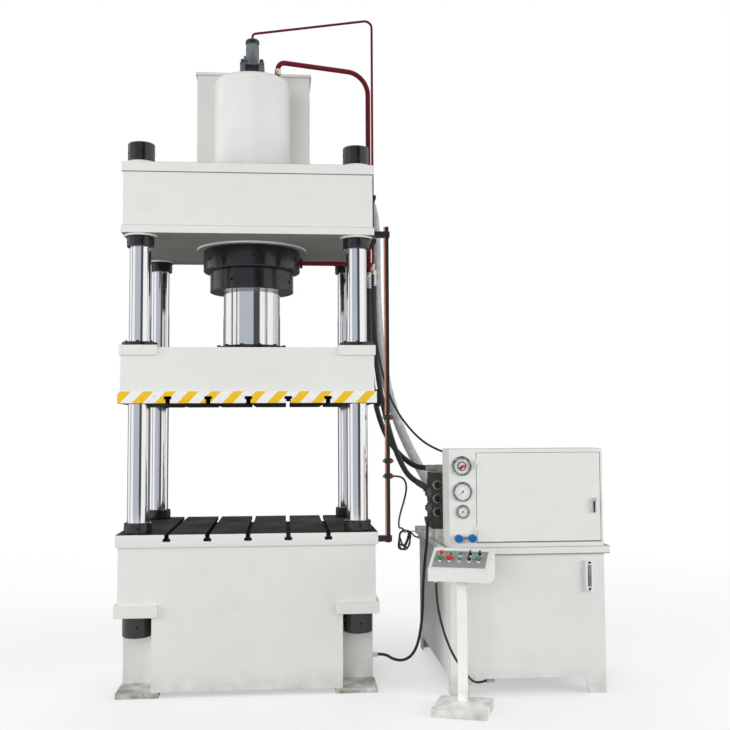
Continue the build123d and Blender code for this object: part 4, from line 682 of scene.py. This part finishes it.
# Valve cabinet: sheet housing with a flush door on the right and the gauge panel on the
# left, where a bare steel bar sits between the knobs. The door has two welded hinges and
# a swing lever on a lock plate.
# Painted shade in the gaps round the door.
door_gap_shade = (
    (0.8885, 0.897, 1.352, 2.112),
    (1.4215, 1.4245, 1.352, 2.112),
    (0.8885, 1.4245, 2.1075, 2.112),
    (0.8885, 1.4245, 1.3535, 1.3565),
)
cabinet_enamel = sprayed("cabinet_enamel", off_white, shade_lines=door_gap_shade)
bar_span = cabinet_enamel.axis("X").between(1.2695, 1.2965)
bar_span = bar_span * cabinet_enamel.axis("Z").between(0.9135, 0.9265)
plated_bar = bar_span * (cabinet_enamel.axis("Y") < -0.7312)
bar_tone = cabinet_enamel.mix(plated_bar, cabinet_enamel.colour, (0.4, 0.4, 0.41))
cabinet_enamel.feed("Base Color", bar_tone)
cabinet_enamel.feed("Metallic", plated_bar * 0.8)
soften("cabinet_shell", cabinet_enamel, 0.0)
soften("cabinet_door", white_enamel, 0.0)
lever_enamel = blackened("lever_enamel", (0.014, 0.014, 0.015), 0.3)
lock_x, lock_z = 2.068, 1.14
grip = bmesh.new()
bmesh.ops.create_cube(grip, size=1)
bmesh.ops.scale(grip, vec=(0.013, 0.01, 0.078), verts=grip.verts)
bmesh.ops.translate(grip, vec=(0, 0, -0.039), verts=grip.verts)
for vertex in grip.verts:
    if vertex.co.z < -0.04:
        vertex.co.x *= 0.75
break_edges(grip, 0.003, 3)
lever = placed(bmesh.new(), grip, at(lock_x, -0.745, lock_z))
door_handle = ("door_handle",)
collected("lock_lever_grip", lever, lever_enamel, door_handle, "lock_lever")
hub_outline = [(0, 0), (0.0125, 0), (0.0125, 0.011), (0.0105, 0.0135), (0, 0.0135)]
lock_hub = placed(bmesh.new(), turned(hub_outline, 32), aimed((lock_x, -0.7374, lock_z), to_front))
polished = grained("polished_nickel", (0.78, 0.77, 0.75), 40.0, 0.1, 0.1, Metallic=0.6)
rim_steel = Finish("gauge_rim_steel", (0.3, 0.3, 0.31), Metallic=1.0)
# Its colour clouds between dark and pale, as painted reflection on the chromed rims.
rim_cloud_and_glints = rim_steel.clouded((0.17, 0.17, 0.175), (0.64, 0.64, 0.65), 45.0, 3.0, 0.35, 0.65)
rim_steel.feed("Roughness", rim_cloud_and_glints * 0.12 + 0.14)
collected("lock_lever_hub", lock_hub, polished, body="lock_lever")


# Control gear in the cabinet: zinc mounting plate and rails with moulded contactors,
# relays and terminals.
gear_plastic = grained("moulded_gear", (0.05, 0.05, 0.05), 60.0, 0.2, 0.38)
on_plate = gear_plastic.axis("Y") > -0.5045
housings = gear_plastic.mix(gear_plastic.axis("Z") > 1.22, (0.5, 0.5, 0.47), (0.03, 0.03, 0.032))
gear_plastic.feed("Base Color", gear_plastic.mix(on_plate, housings, (0.45, 0.44, 0.4)))
soften("control_gear", gear_plastic, 0.001)


# Pressure gauges: chromed front flanges with three screws, printed dials under glass.
# Each needle turns on its own pin.
dial_white = Finish("dial_enamel", (0.8, 0.8, 0.78), Roughness=0.5)
dial_white.clouded((0.58, 0.59, 0.59), (0.68, 0.68, 0.67), 40.0)
dial_dark = Finish("contact_gauge_dial", (0.5, 0.5, 0.49), Roughness=0.4)
dial_dark.clouded((0.42, 0.42, 0.41), (0.6, 0.6, 0.59), 26.0, 3.0, 0.35, 0.65)
ink = grained("dial_ink", (0.01, 0.01, 0.01), 90.0, 0.1, 0.55)
clear = {"Transmission_Weight": 1.0, "IOR": 1.1, "Alpha": 0.25}
glass = grained("gauge_glass", (1, 1, 1), 30.0, 0.02, 0.01, **clear)


def rolled(degrees, axis):
    return Matrix.Rotation(math.radians(degrees), 4, axis)


bezels, ticks, cases, panes = (bmesh.new() for blank in range(4))
dials = {"light": bmesh.new(), "dark": bmesh.new()}
panel_y = -0.731
for x, z, flange_radius, case_radius, dial in (
    (1.268, 1.345, 0.06, 0.05, "dark"),
    (1.271, 1.192, 0.06, 0.05, "light"),
    (1.272, 1.075, 0.042, 0.032, "light"),
):
    lip = case_radius - 0.004
    face = aimed((x, panel_y, z), to_front)
    outline = [(lip, 0.004), (lip, 0.0125), (lip + 0.0015, 0.014), (case_radius + 0.002, 0.014)]
    outline += [(case_radius + 0.004, 0.011), (case_radius + 0.0045, 0.005)]
    outline += [(flange_radius - 0.001, 0.0042), (flange_radius, 0.003)]
    outline += [(flange_radius, 0.0004), (lip, 0.0004)]
    placed(bezels, turned(outline, 56), face)
    for step in range(3):
        across, up = toward(120 * step + 30)
        reach = flange_radius - 0.0045
        spot = (x + reach * across, panel_y - 0.004, z + reach * up)
        placed(bezels, screw_head(0.003, 0.002), aimed(spot, to_front))
    behind = aimed((x, panel_y + 0.046, z), to_front)
    placed(cases, puck(case_radius - 0.001, 0, 0.045, 40), behind)
    placed(dials[dial], puck(lip + 0.0008, 0.0042, 0.0058, 48), face)
    placed(panes, puck(lip + 0.0008, 0.0112, 0.012, 48), face)
    for step in range(28):
        long_tick = step % 3 == 0
        length = case_radius * (0.16 if long_tick else 0.09)
        width = 0.0012 if long_tick else 0.0007
        tick = bmesh.new()
        bmesh.ops.create_cube(tick, size=1)
        bmesh.ops.scale(tick, vec=(length, width, 0.0002), verts=tick.verts)
        outer_end = case_radius * 0.8
        bmesh.ops.translate(tick, vec=(outer_end - length / 2, 0, 0.0001), verts=tick.verts)
        swing = rolled(225 - 270 * step / 27, "Z")
        placed(ticks, tick, at(x, panel_y - 0.0059, z) @ rolled(90, "X") @ swing)
collected("gauge_bezels", bezels, rim_steel, ("gauge_cases",))
collected("gauge_bodies", cases, black_enamel)
collected("gauge_dials_white", dials["light"], dial_white)
collected("gauge_dial_dark", dials["dark"], dial_dark)
collected("gauge_dial_ticks", ticks, ink)
collected("gauge_panes", panes, glass)
hand_ring = bmesh.new()
ring = [(0.021, 0.0062), (0.027, 0.0062), (0.027, 0.007), (0.021, 0.007)]
placed(hand_ring, turned(ring, 40), aimed((1.268, panel_y, 1.345), to_front))
placed(hand_ring, puck(0.008, 0.0062, 0.008, 24), aimed((1.262, panel_y, 1.336), to_front))
collected("gauge_contact_ring", hand_ring, ink)
mark_outline = [(0, 0), (0.01, 0), (0.01, 0.002), (0.008, 0.003), (0, 0.003)]
mark_place = aimed((1.277, panel_y - 0.0062, 1.345), to_front)
red_mark = placed(bmesh.new(), turned(mark_outline, 28), mark_place)
signal_red = Finish("signal_red", (0.62, 0.02, 0.02), Roughness=0.35)
signal_red.clouded((0.56, 0.015, 0.015), (0.66, 0.03, 0.025), 50.0)
collected("gauge_contact_knob", red_mark, signal_red)
for needle in ("gauge_needle_main", "gauge_needle_return", "gauge_needle_pilot"):
    soften(needle, ink, 0.0)


# Shut-off knobs: fluted blue plastic grips, each on a steel spindle, with a plated
# fitting between them.
knob_blue = grained("knob_blue", (0.006, 0.09, 0.34), 80.0, 0.15, 0.3, Specular_IOR_Level=0.25)
knob_blue.clouded((0.003, 0.1, 0.3), (0.005, 0.15, 0.42), 30.0)
for knob in ("valve_knob_left", "valve_knob_right"):
    soften(knob, knob_blue, 0.001)


# Manifold: bored steel block, phosphated olive-grey and oily, with screw plugs on its
# front and solenoid valves on its back.
block_steel = phosphated("manifold_steel", (0.04, 0.038, 0.029), 0.15)
elbow_tone = block_steel.mix(block_steel.axis("Z") > 1.2895, block_steel.colour, (0.26, 0.26, 0.23))
block_steel.feed("Base Color", elbow_tone)
soften("manifold_block", block_steel, 0.002)
coil_black = (0.02, 0.02, 0.022)
valve_plastic = grained("coil_plastic", coil_black, 70.0, 0.2, 0.35, Specular_IOR_Level=0.3)
soften("manifold_valves", valve_plastic, 0.002)
plug_outline = [(0, 0.01), (0.009, 0.01), (0.01, 0.02), (0.0165, 0.022)]
plug_outline += [(0.0225, 0.018), (0.024, 0.01), (0.024, -0.011), (0, -0.011)]
# Bright plated washers under the plugs, which also stand as the painted highlight round the caps'
# rims.
seat_outline = [(0, -0.0112), (0.029, -0.0112), (0.03, -0.009)]
seat_outline += [(0.0285, -0.006), (0, -0.006)]
plug_heads = bmesh.new()
plug_highlight_seats = bmesh.new()
for height in (1.042, 1.126, 1.212):
    bore = aimed((1.184, -0.3415, height), to_front)
    placed(plug_heads, turned(plug_outline, 32), bore)
    placed(plug_highlight_seats, turned(seat_outline, 36), bore)
collected("manifold_plug_washers", plug_highlight_seats, bright_zinc)
plug_plastic = grained("plug_plastic", (0.01, 0.01, 0.011), 70.0, 0.15, 0.2)
collected("manifold_plugs", plug_heads, plug_plastic)
block_screws = bmesh.new()
for x in (1.2195, 1.262, 1.302):
    for step in range(8):
        spot = (x, -0.33, 0.965 + 0.042 * step)
        placed(block_screws, screw_head(0.0075, 0.008), aimed(spot, to_front))
collected("manifold_screws", block_screws, valve_steel)
cartridge_outline = [(0, 0), (0.034, 0), (0.034, 0.02), (0.03, 0.026)]
cartridge_outline += [(0.018, 0.028), (0.018, 0.034), (0.014, 0.038), (0, 0.038)]
cartridges = bmesh.new()
for height in (1.066, 1.158):
    spot = (1.15, -0.286, height)
    placed(cartridges, turned(cartridge_outline, 40), aimed(spot, (-1, 0, 0)))
collected("manifold_cartridges", cartridges, valve_mid)


# Motor and pump on the tank cover: a finned housing in grey-blue enamel, and a bare pump
# with its rough cast skin.
soften("motor", sprayed("motor_enamel", (0.06, 0.1, 0.14), 0.42, 0.4, 0.1), 0.002)
cast_iron = Finish("cast_iron", (0.05, 0.05, 0.052), Metallic=0.4)
skin = cast_iron.clouded((0.035, 0.035, 0.036), (0.09, 0.088, 0.085), 120.0, 5.0)
cast_iron.feed("Roughness", skin * 0.2 + 0.5)
cast_iron.bump(skin, 0.001, 0.4)
soften("pump", cast_iron, 0.002)


# Control pedestal: weighted base, square post and a sloping sheet console, all sprayed
# off-white. The sunk panel is grey laminate, and each control has a chromed ring.
# The pedestal's enamel is paler than the console's: painted light on the post.
soften("pedestal", sprayed("pedestal_enamel_painted_light", (0.9, 0.9, 0.85), 0.42, 0.8))
soften("console_box", sprayed("console_enamel", (0.78, 0.78, 0.735), 0.42, 0.8), 0.002)
tilt = math.degrees(math.atan2(0.096, 0.192))
console = at(1.208, -1.02, 0.839) @ rolled(-20.4, "Z") @ rolled(tilt, "X")
laminate = Finish("grey_laminate", (0.27, 0.275, 0.275))
laminate_cloud = laminate.clouded((0.25, 0.25, 0.255), (0.3, 0.3, 0.305), 30.0, 4.0)
laminate.feed("Roughness", laminate_cloud * 0.15 + 0.38)
sheet = block((0.299, 0.165, 0.0014), 0.0004, 1)
panel = placed(bmesh.new(), sheet, console @ at(-0.007, -0.005, -0.002))
collected("console_panel", panel, laminate)
lens = [(0, 0.002), (0.0125, 0.002), (0.0125, 0.011), (0.0115, 0.0155), (0.0085, 0.0195)]
lens += [(0.0045, 0.0215), (0, 0.022)]
ring = [(0.0108, 0), (0.0142, 0), (0.0142, 0.0018), (0.0134, 0.0028), (0.0114, 0.0028)]
ring += [(0.0108, 0.0022)]
control_pitch = 0.05475
rings, labels, lamp = (bmesh.new() for blank in range(3))
for column in range(5):
    for row, up in enumerate((0.046, -0.007)):
        spot = console @ at(-0.0115 + control_pitch * (column - 2), up, -0.0016)
        placed(rings, turned(ring, 36), spot)
        if (row, column) == (0, 0):
            placed(lamp, turned(lens, 32), spot)
        else:
            label = block((0.014, 0.009, 0.001), 0.0003, 1)
            placed(labels, label, spot @ at(0.001, -0.0205, 0.0004))
collected("control_rings", rings, rim_steel)
label_white = grained("label_white", (0.88, 0.88, 0.87), 90.0, 0.15, 0.32, Specular_IOR_Level=0.3)
collected("control_labels", labels, label_white)
collected("signal_lamp_lens", lamp, signal_red)
moulded_green = grained("moulded_green", (0.012, 0.2, 0.075), 90.0, 0.15, 0.24)
moulded_green.clouded((0.01, 0.17, 0.065), (0.016, 0.24, 0.09), 60.0)
moulded_black = grained("moulded_black", (0.012, 0.012, 0.012), 90.0, 0.15, 0.25)
moulded_red = grained("moulded_red", (0.55, 0.012, 0.012), 90.0, 0.15, 0.24)
moulded_red.clouded((0.48, 0.01, 0.01), (0.6, 0.016, 0.014), 60.0)
for control in ("button_start", "button_stop", "button_up", "mushroom_down", "mushroom_run"):
    soften(control, moulded_green, 0.0006)
soften("emergency_stop", moulded_red, 0.0006)
for control in ("selector_mode", "selector_pressure", "selector_light"):
    soften(control, moulded_black, 0.0006)


# Hoses and cables. The pressure hoses are black rubber over wire braid, the filling hose
# is grey, and the cables have black sheaths. Each runs from its fitting in one curve.
def sheathed(name, colour, roughness):
    cover = Finish(name, colour)
    cloth = cover.noise(220.0, 2.0)
    scuffs = cover.noise(16.0, 5.0, low=0.5, high=0.8)
    lighter = tuple(min(1.0, shade * 2.0 + 0.02) for shade in colour)
    cover.feed("Base Color", cover.mix(scuffs * 0.5, colour, lighter))
    cover.feed("Roughness", scuffs * 0.15 + roughness)
    cover.bump(cloth, 0.0004, 0.3)
    return cover


def run_cord(name, finish, points, diameter, replaced):
    """One smooth curve along the CAD route, from its first fitting to its last."""
    curve = bpy.data.curves.new(name, "CURVE")
    curve.dimensions = "3D"
    curve.bevel_depth = diameter / 2
    curve.bevel_resolution = 5
    curve.resolution_u = 14
    curve.use_fill_caps = True
    line = curve.splines.new("NURBS")
    line.points.add(len(points) - 1)
    for point, place in zip(line.points, points):
        point.co = (*place, 1)
    line.order_u = 3
    line.use_endpoint_u = True
    curve.materials.append(finish.material)
    made = linked(name, curve)
    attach(made, "press")
    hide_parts(*replaced)


hose_rubber = sheathed("hose_rubber", (0.012, 0.012, 0.013), 0.42)
grey_hose = sheathed("grey_hose_cover", (0.42, 0.43, 0.435), 0.4)
sheath_black = (0.012, 0.012, 0.012)
cable_sheath = sheathed("cable_sheath", sheath_black, 0.46)
hose_main = [
    (0.8, 0.19, 2.54), (0.8, 0.19, 2.3), (0.807, 0.183, 2.03),
    (0.831, 0.158, 1.76), (0.887, 0.1, 1.55), (0.964, 0.021, 1.415),
    (1.047, -0.065, 1.338), (1.1, -0.118, 1.314), (1.145, -0.165, 1.314),
]
hose_return = [
    (0.822, 0.06, 2.54), (0.822, 0.06, 2.31), (0.831, 0.052, 2.06),
    (0.857, 0.027, 1.83), (0.895, -0.009, 1.63), (0.938, -0.05, 1.46),
    (0.99, -0.1, 1.322), (1.035, -0.142, 1.25), (1.078, -0.183, 1.222),
]
hose_fill = [
    (0.425, 0.35, 3.38), (0.575, 0.35, 3.38), (0.709, 0.349, 3.339),
    (0.8, 0.348, 3.25), (0.852, 0.347, 3.12), (0.868, 0.346, 2.92),
    (0.866, 0.343, 2.62), (0.876, 0.334, 2.31), (0.905, 0.322, 2.02),
    (0.96, 0.304, 1.75), (1.05, 0.278, 1.5), (1.15, 0.245, 1.3),
    (1.24, 0.212, 1.135), (1.285, 0.195, 1.0), (1.285, 0.195, 0.878),
]
hose_pilot = [
    (0.812, 0.0, 2.61), (0.812, 0.0, 2.43), (0.822, -0.01, 2.23),
    (0.846, -0.036, 2.04), (0.884, -0.078, 1.86), (0.938, -0.136, 1.705),
    (1.015, -0.21, 1.58), (1.1, -0.282, 1.485), (1.18, -0.356, 1.437),
    (1.225, -0.41, 1.419), (1.225, -0.467, 1.419),
]
cable_base = [
    (0.795, -0.33, 0.165), (0.845, -0.33, 0.165), (0.895, -0.327, 0.13),
    (0.96, -0.32, 0.118), (1.022, -0.314, 0.152), (1.062, -0.309, 0.24),
    (1.086, -0.305, 0.4), (1.09, -0.303, 0.58), (1.104, -0.3, 0.74),
    (1.122, -0.297, 0.865), (1.122, -0.297, 0.965),
]
cable_console = [
    (1.0744, -0.949, 0.701), (1.0744, -0.949, 0.6), (1.102, -0.936, 0.47),
    (1.144, -0.908, 0.345), (1.202, -0.865, 0.235), (1.264, -0.815, 0.15),
    (1.31, -0.765, 0.096), (1.361, -0.716, 0.072), (1.412, -0.668, 0.072),
]
for node, sheath, slot, points, diameter, length, stiffness in (
    ("hose_main", hose_rubber, "hose_black", hose_main, 0.036, 1.463, "stiff"),
    ("hose_return", hose_rubber, "hose_black", hose_return, 0.036, 1.414, "stiff"),
    ("hose_fill", grey_hose, "hose_grey", hose_fill, 0.064, 2.877, "stiff"),
    ("hose_pilot", hose_rubber, "hose_black", hose_pilot, 0.014, 1.491, "medium"),
    ("cable_base", cable_sheath, "cable_black", cable_base, 0.018, 1.066, "medium"),
    ("cable_console", cable_sheath, "cable_black", cable_console, 0.014, 0.853, "medium"),
):
    tube = node + "_tube"
    run_cord(tube, sheath, points, diameter, [node])


# Switch cable: its spare length hangs from the tank's hook in four loose turns that fan
# out below the peg, then goes into the tank's side. The turns are wrapped in brown
# spiral tape where they are handled.
cable_switches = [
    (0.887, -0.489, 1.278), (0.925, -0.489, 1.278), (0.958, -0.478, 1.256),
    (0.975, -0.438, 1.205), (0.972, -0.345, 1.125), (0.962, -0.205, 1.03),
    (0.968, -0.05, 0.958), (0.988, 0.11, 0.908), (1.012, 0.26, 0.882),
    (1.03, 0.37, 0.872), (1.043, 0.44, 0.866), (1.056, 0.482, 0.857),
]
turn_points = [(90, 0), (54, 0), (18, 0), (0, 0.5), (-18, 1), (-54, 1)]
turn_points += [(-90, 1), (-126, 1), (-162, 1), (180, 0.5), (162, 0), (126, 0)]
peg_x, peg_z = 1.079, 0.839
coil_foot = 0.744
depth = 0.4975
for upper, lower, aside, drop in (
    (0.043, 0.033, -0.008, -0.008),
    (0.038, 0.026, -0.024, -0.014),
    (0.042, 0.026, 0.01, -0.002),
    (0.033, 0.024, -0.014, 0.01),
):
    for bearing, lowered in turn_points:
        radius = upper + (lower - upper) * lowered
        hanging = peg_z - upper
        middle = hanging + (coil_foot + drop - hanging) * lowered
        side, up = toward(bearing)
        rise = radius * up * (lowered != 0.5)
        sideways = radius * side + aside * lowered
        cable_switches.append((peg_x + sideways, depth, middle + rise))
        depth += 0.0125 / len(turn_points)
cable_switches += [
    (1.079, 0.548, 0.839), (1.11, 0.55, 0.833), (1.136, 0.54, 0.812),
    (1.155, 0.521, 0.79), (1.173, 0.52, 0.79),
]
taped = sheathed("wrapped_sheath", sheath_black, 0.46)
tape_cloud = taped.noise(42.0, 4.0, low=0.35, high=0.65)
tape = taped.mix(tape_cloud, (0.04, 0.018, 0.013), (0.115, 0.055, 0.038))
grey_turns = taped.mix(tape_cloud, (0.035, 0.034, 0.034), (0.16, 0.16, 0.16))
on_coil = (taped.axis("X") > 1.028) * (taped.axis("Y") > 0.47)
shown_tape = taped.mix(taped.axis("Z") > 0.785, grey_turns, tape)
taped.feed("Base Color", taped.mix(on_coil, sheath_black, shown_tape))
run_cord(
    "cable_switches_tube",
    taped,
    cable_switches,
    0.012,
    ["cable_switches", "cable_coil"],
)


# Stage, lamps and camera: a pale floor and backdrop, soft studio light, and the camera
# where the photograph was taken.
class Tree(Finish):
    """The same maker of nodes, on a node tree that is already there."""

    def __init__(self, tree):
        self.nodes = tree.nodes
        self.links = tree.links

    def seen(self):
        kinds = ("Is Camera Ray", "Is Glossy Ray", "Is Transmission Ray")
        camera, glossy, clear = (self.node("ShaderNodeLightPath", output=kind) for kind in kinds)
        return self.either(camera, self.either(glossy, clear))


def staged(name, shape, material, place):
    """Adds a piece of the studio, which isn't part of the press."""
    data = bpy.data.meshes.new(name)
    shape.transform(place)
    shape.to_mesh(data)
    shape.free()
    data.materials.append(material)
    made = linked(name, data)
    return made


floor_paint = Finish("studio_floor", (0.22, 0.22, 0.22), Roughness=0.9)
away = floor_paint.node("ShaderNodeVectorMath", {"operation": "LENGTH"}, (floor_paint.place,), 1)
glow = floor_paint.node("ShaderNodeMapRange", {}, (away, 2.0, 7.0, 0.5, 1.0))
bright = floor_paint.node("ShaderNodeBsdfDiffuse", {}, {"Color": (0.95, 0.95, 0.95, 1)})
paper = floor_paint.node("ShaderNodeEmission", {}, {"Color": (1, 1, 1, 1), "Strength": 1.0})
shown = floor_paint.node("ShaderNodeMixShader", {}, (glow, bright, paper))
lit = Value(floor_paint, floor_paint.shader.outputs[0])
rays = Tree.seen(floor_paint)
surface = floor_paint.node("ShaderNodeMixShader", {}, (rays, lit, shown))
floor_paint.links.new(surface.socket, floor_paint.nodes["Material Output"].inputs["Surface"])
floor_shape = bmesh.new()
bmesh.ops.create_grid(floor_shape, x_segments=1, y_segments=1, size=60)
staged("studio_floor", floor_shape, floor_paint.material, at(0, 0, -0.001))

world = bpy.data.worlds.new("studio")
bpy.context.scene.world = world
world.use_nodes = True
sky = Tree(world.node_tree)
soft = {"Color": (0.95, 0.97, 1.0, 1), "Strength": 0.42}
soft_light = sky.node("ShaderNodeBackground", {}, soft)
backdrop = sky.node("ShaderNodeBackground", {}, {"Color": (1, 1, 1, 1), "Strength": 1.0})
whole_sky = sky.node("ShaderNodeMixShader", {}, (sky.seen(), soft_light, backdrop))
sky.links.new(whole_sky.socket, sky.nodes["World Output"].inputs["Surface"])

# Cards round the studio that only polished metal sees: grey and dark ones in front, grey
# ones at the back corners, and a low dark one and a dark floor behind, as in a press shop.
for card_name, bearing, away_from, width, height, shade in (
    ("grey_card", -21, 11.0, 12.2, 14.0, (0.5, 0.54, 0.6)),
    ("dark_card", 21, 11.0, 5.0, 14.0, (0.08, 0.08, 0.085)),
    ("narrow_card", -84, 11.0, 1.6, 14.0, (0.16, 0.16, 0.17)),
    ("left_card", -142, 11.0, 6.0, 14.0, (0.2, 0.2, 0.21)),
    ("right_card", 144, 11.0, 6.0, 14.0, (0.16, 0.16, 0.17)),
    ("back_card", 180, 10.0, 14.0, 3.6, (0.1, 0.1, 0.105)),
    ("back_floor_card", None, 11.5, 20.0, 20.0, (0.1, 0.1, 0.105)),
):
    card = bmesh.new()
    bmesh.ops.create_grid(card, x_segments=1, y_segments=1, size=0.5)
    bmesh.ops.scale(card, vec=(width, height, 1), verts=card.verts)
    card_paint = Finish(card_name, shade)
    plain = card_paint.node("ShaderNodeEmission", {}, {"Color": (*shade, 1), "Strength": 1.0})
    card_paint.links.new(plain.socket, card_paint.nodes["Material Output"].inputs["Surface"])
    if bearing is None:
        standing = at(0, away_from, 0.003)
    else:
        side, forth = toward(bearing)
        inward = Vector((-forth, side, 0))
        standing = aimed(inward * -away_from + Vector((0, 0, height / 2 - 0.1)), inward)
    shown_card = staged(card_name, card, card_paint.material, standing)
    shown_card.visible_camera = False
    shown_card.visible_diffuse = False
    shown_card.visible_shadow = False
    shown_card.visible_transmission = False

for lamp_name, spot, aim, size, power in (
    ("key_window", (-2.5, -9.0, 2.0), (0.4, 0, 1.4), 5.0, 350),
    ("left_window", (-9.0, -2.8, 2.6), (0.4, -0.2, 1.8), 5.0, 520),
    ("right_window", (8.6, -4.8, 2.8), (0.8, 0, 1.8), 5.0, 510),
    ("back_window", (0.0, 7.5, 5.5), (0, 0, 2.0), 5.0, 330),
):
    lamp_data = bpy.data.lights.new(lamp_name, "AREA")
    lamp_data.shape = "SQUARE"
    lamp_data.size = size
    lamp_data.energy = power
    lamp_object = linked(lamp_name, lamp_data)
    lamp_object.matrix_world = aimed(spot, Vector(spot) - Vector(aim))
    lamp_object.visible_glossy = False

camera_data = bpy.data.cameras.new("camera")
camera_data.sensor_width = 36
photo_focal, photo_width = 968.1, 730
camera_data.lens = photo_focal / photo_width * camera_data.sensor_width
camera = linked("camera", camera_data)
turned_to = rolled(-4.779, "Z") @ rolled(93.717, "X") @ rolled(-0.3, "Z")
camera.matrix_world = at(0.215, -6.4558, 1.5758) @ turned_to
bpy.context.scene.camera = camera
bpy.context.scene.view_settings.view_transform = "Standard"

bpy.context.view_layer.update()
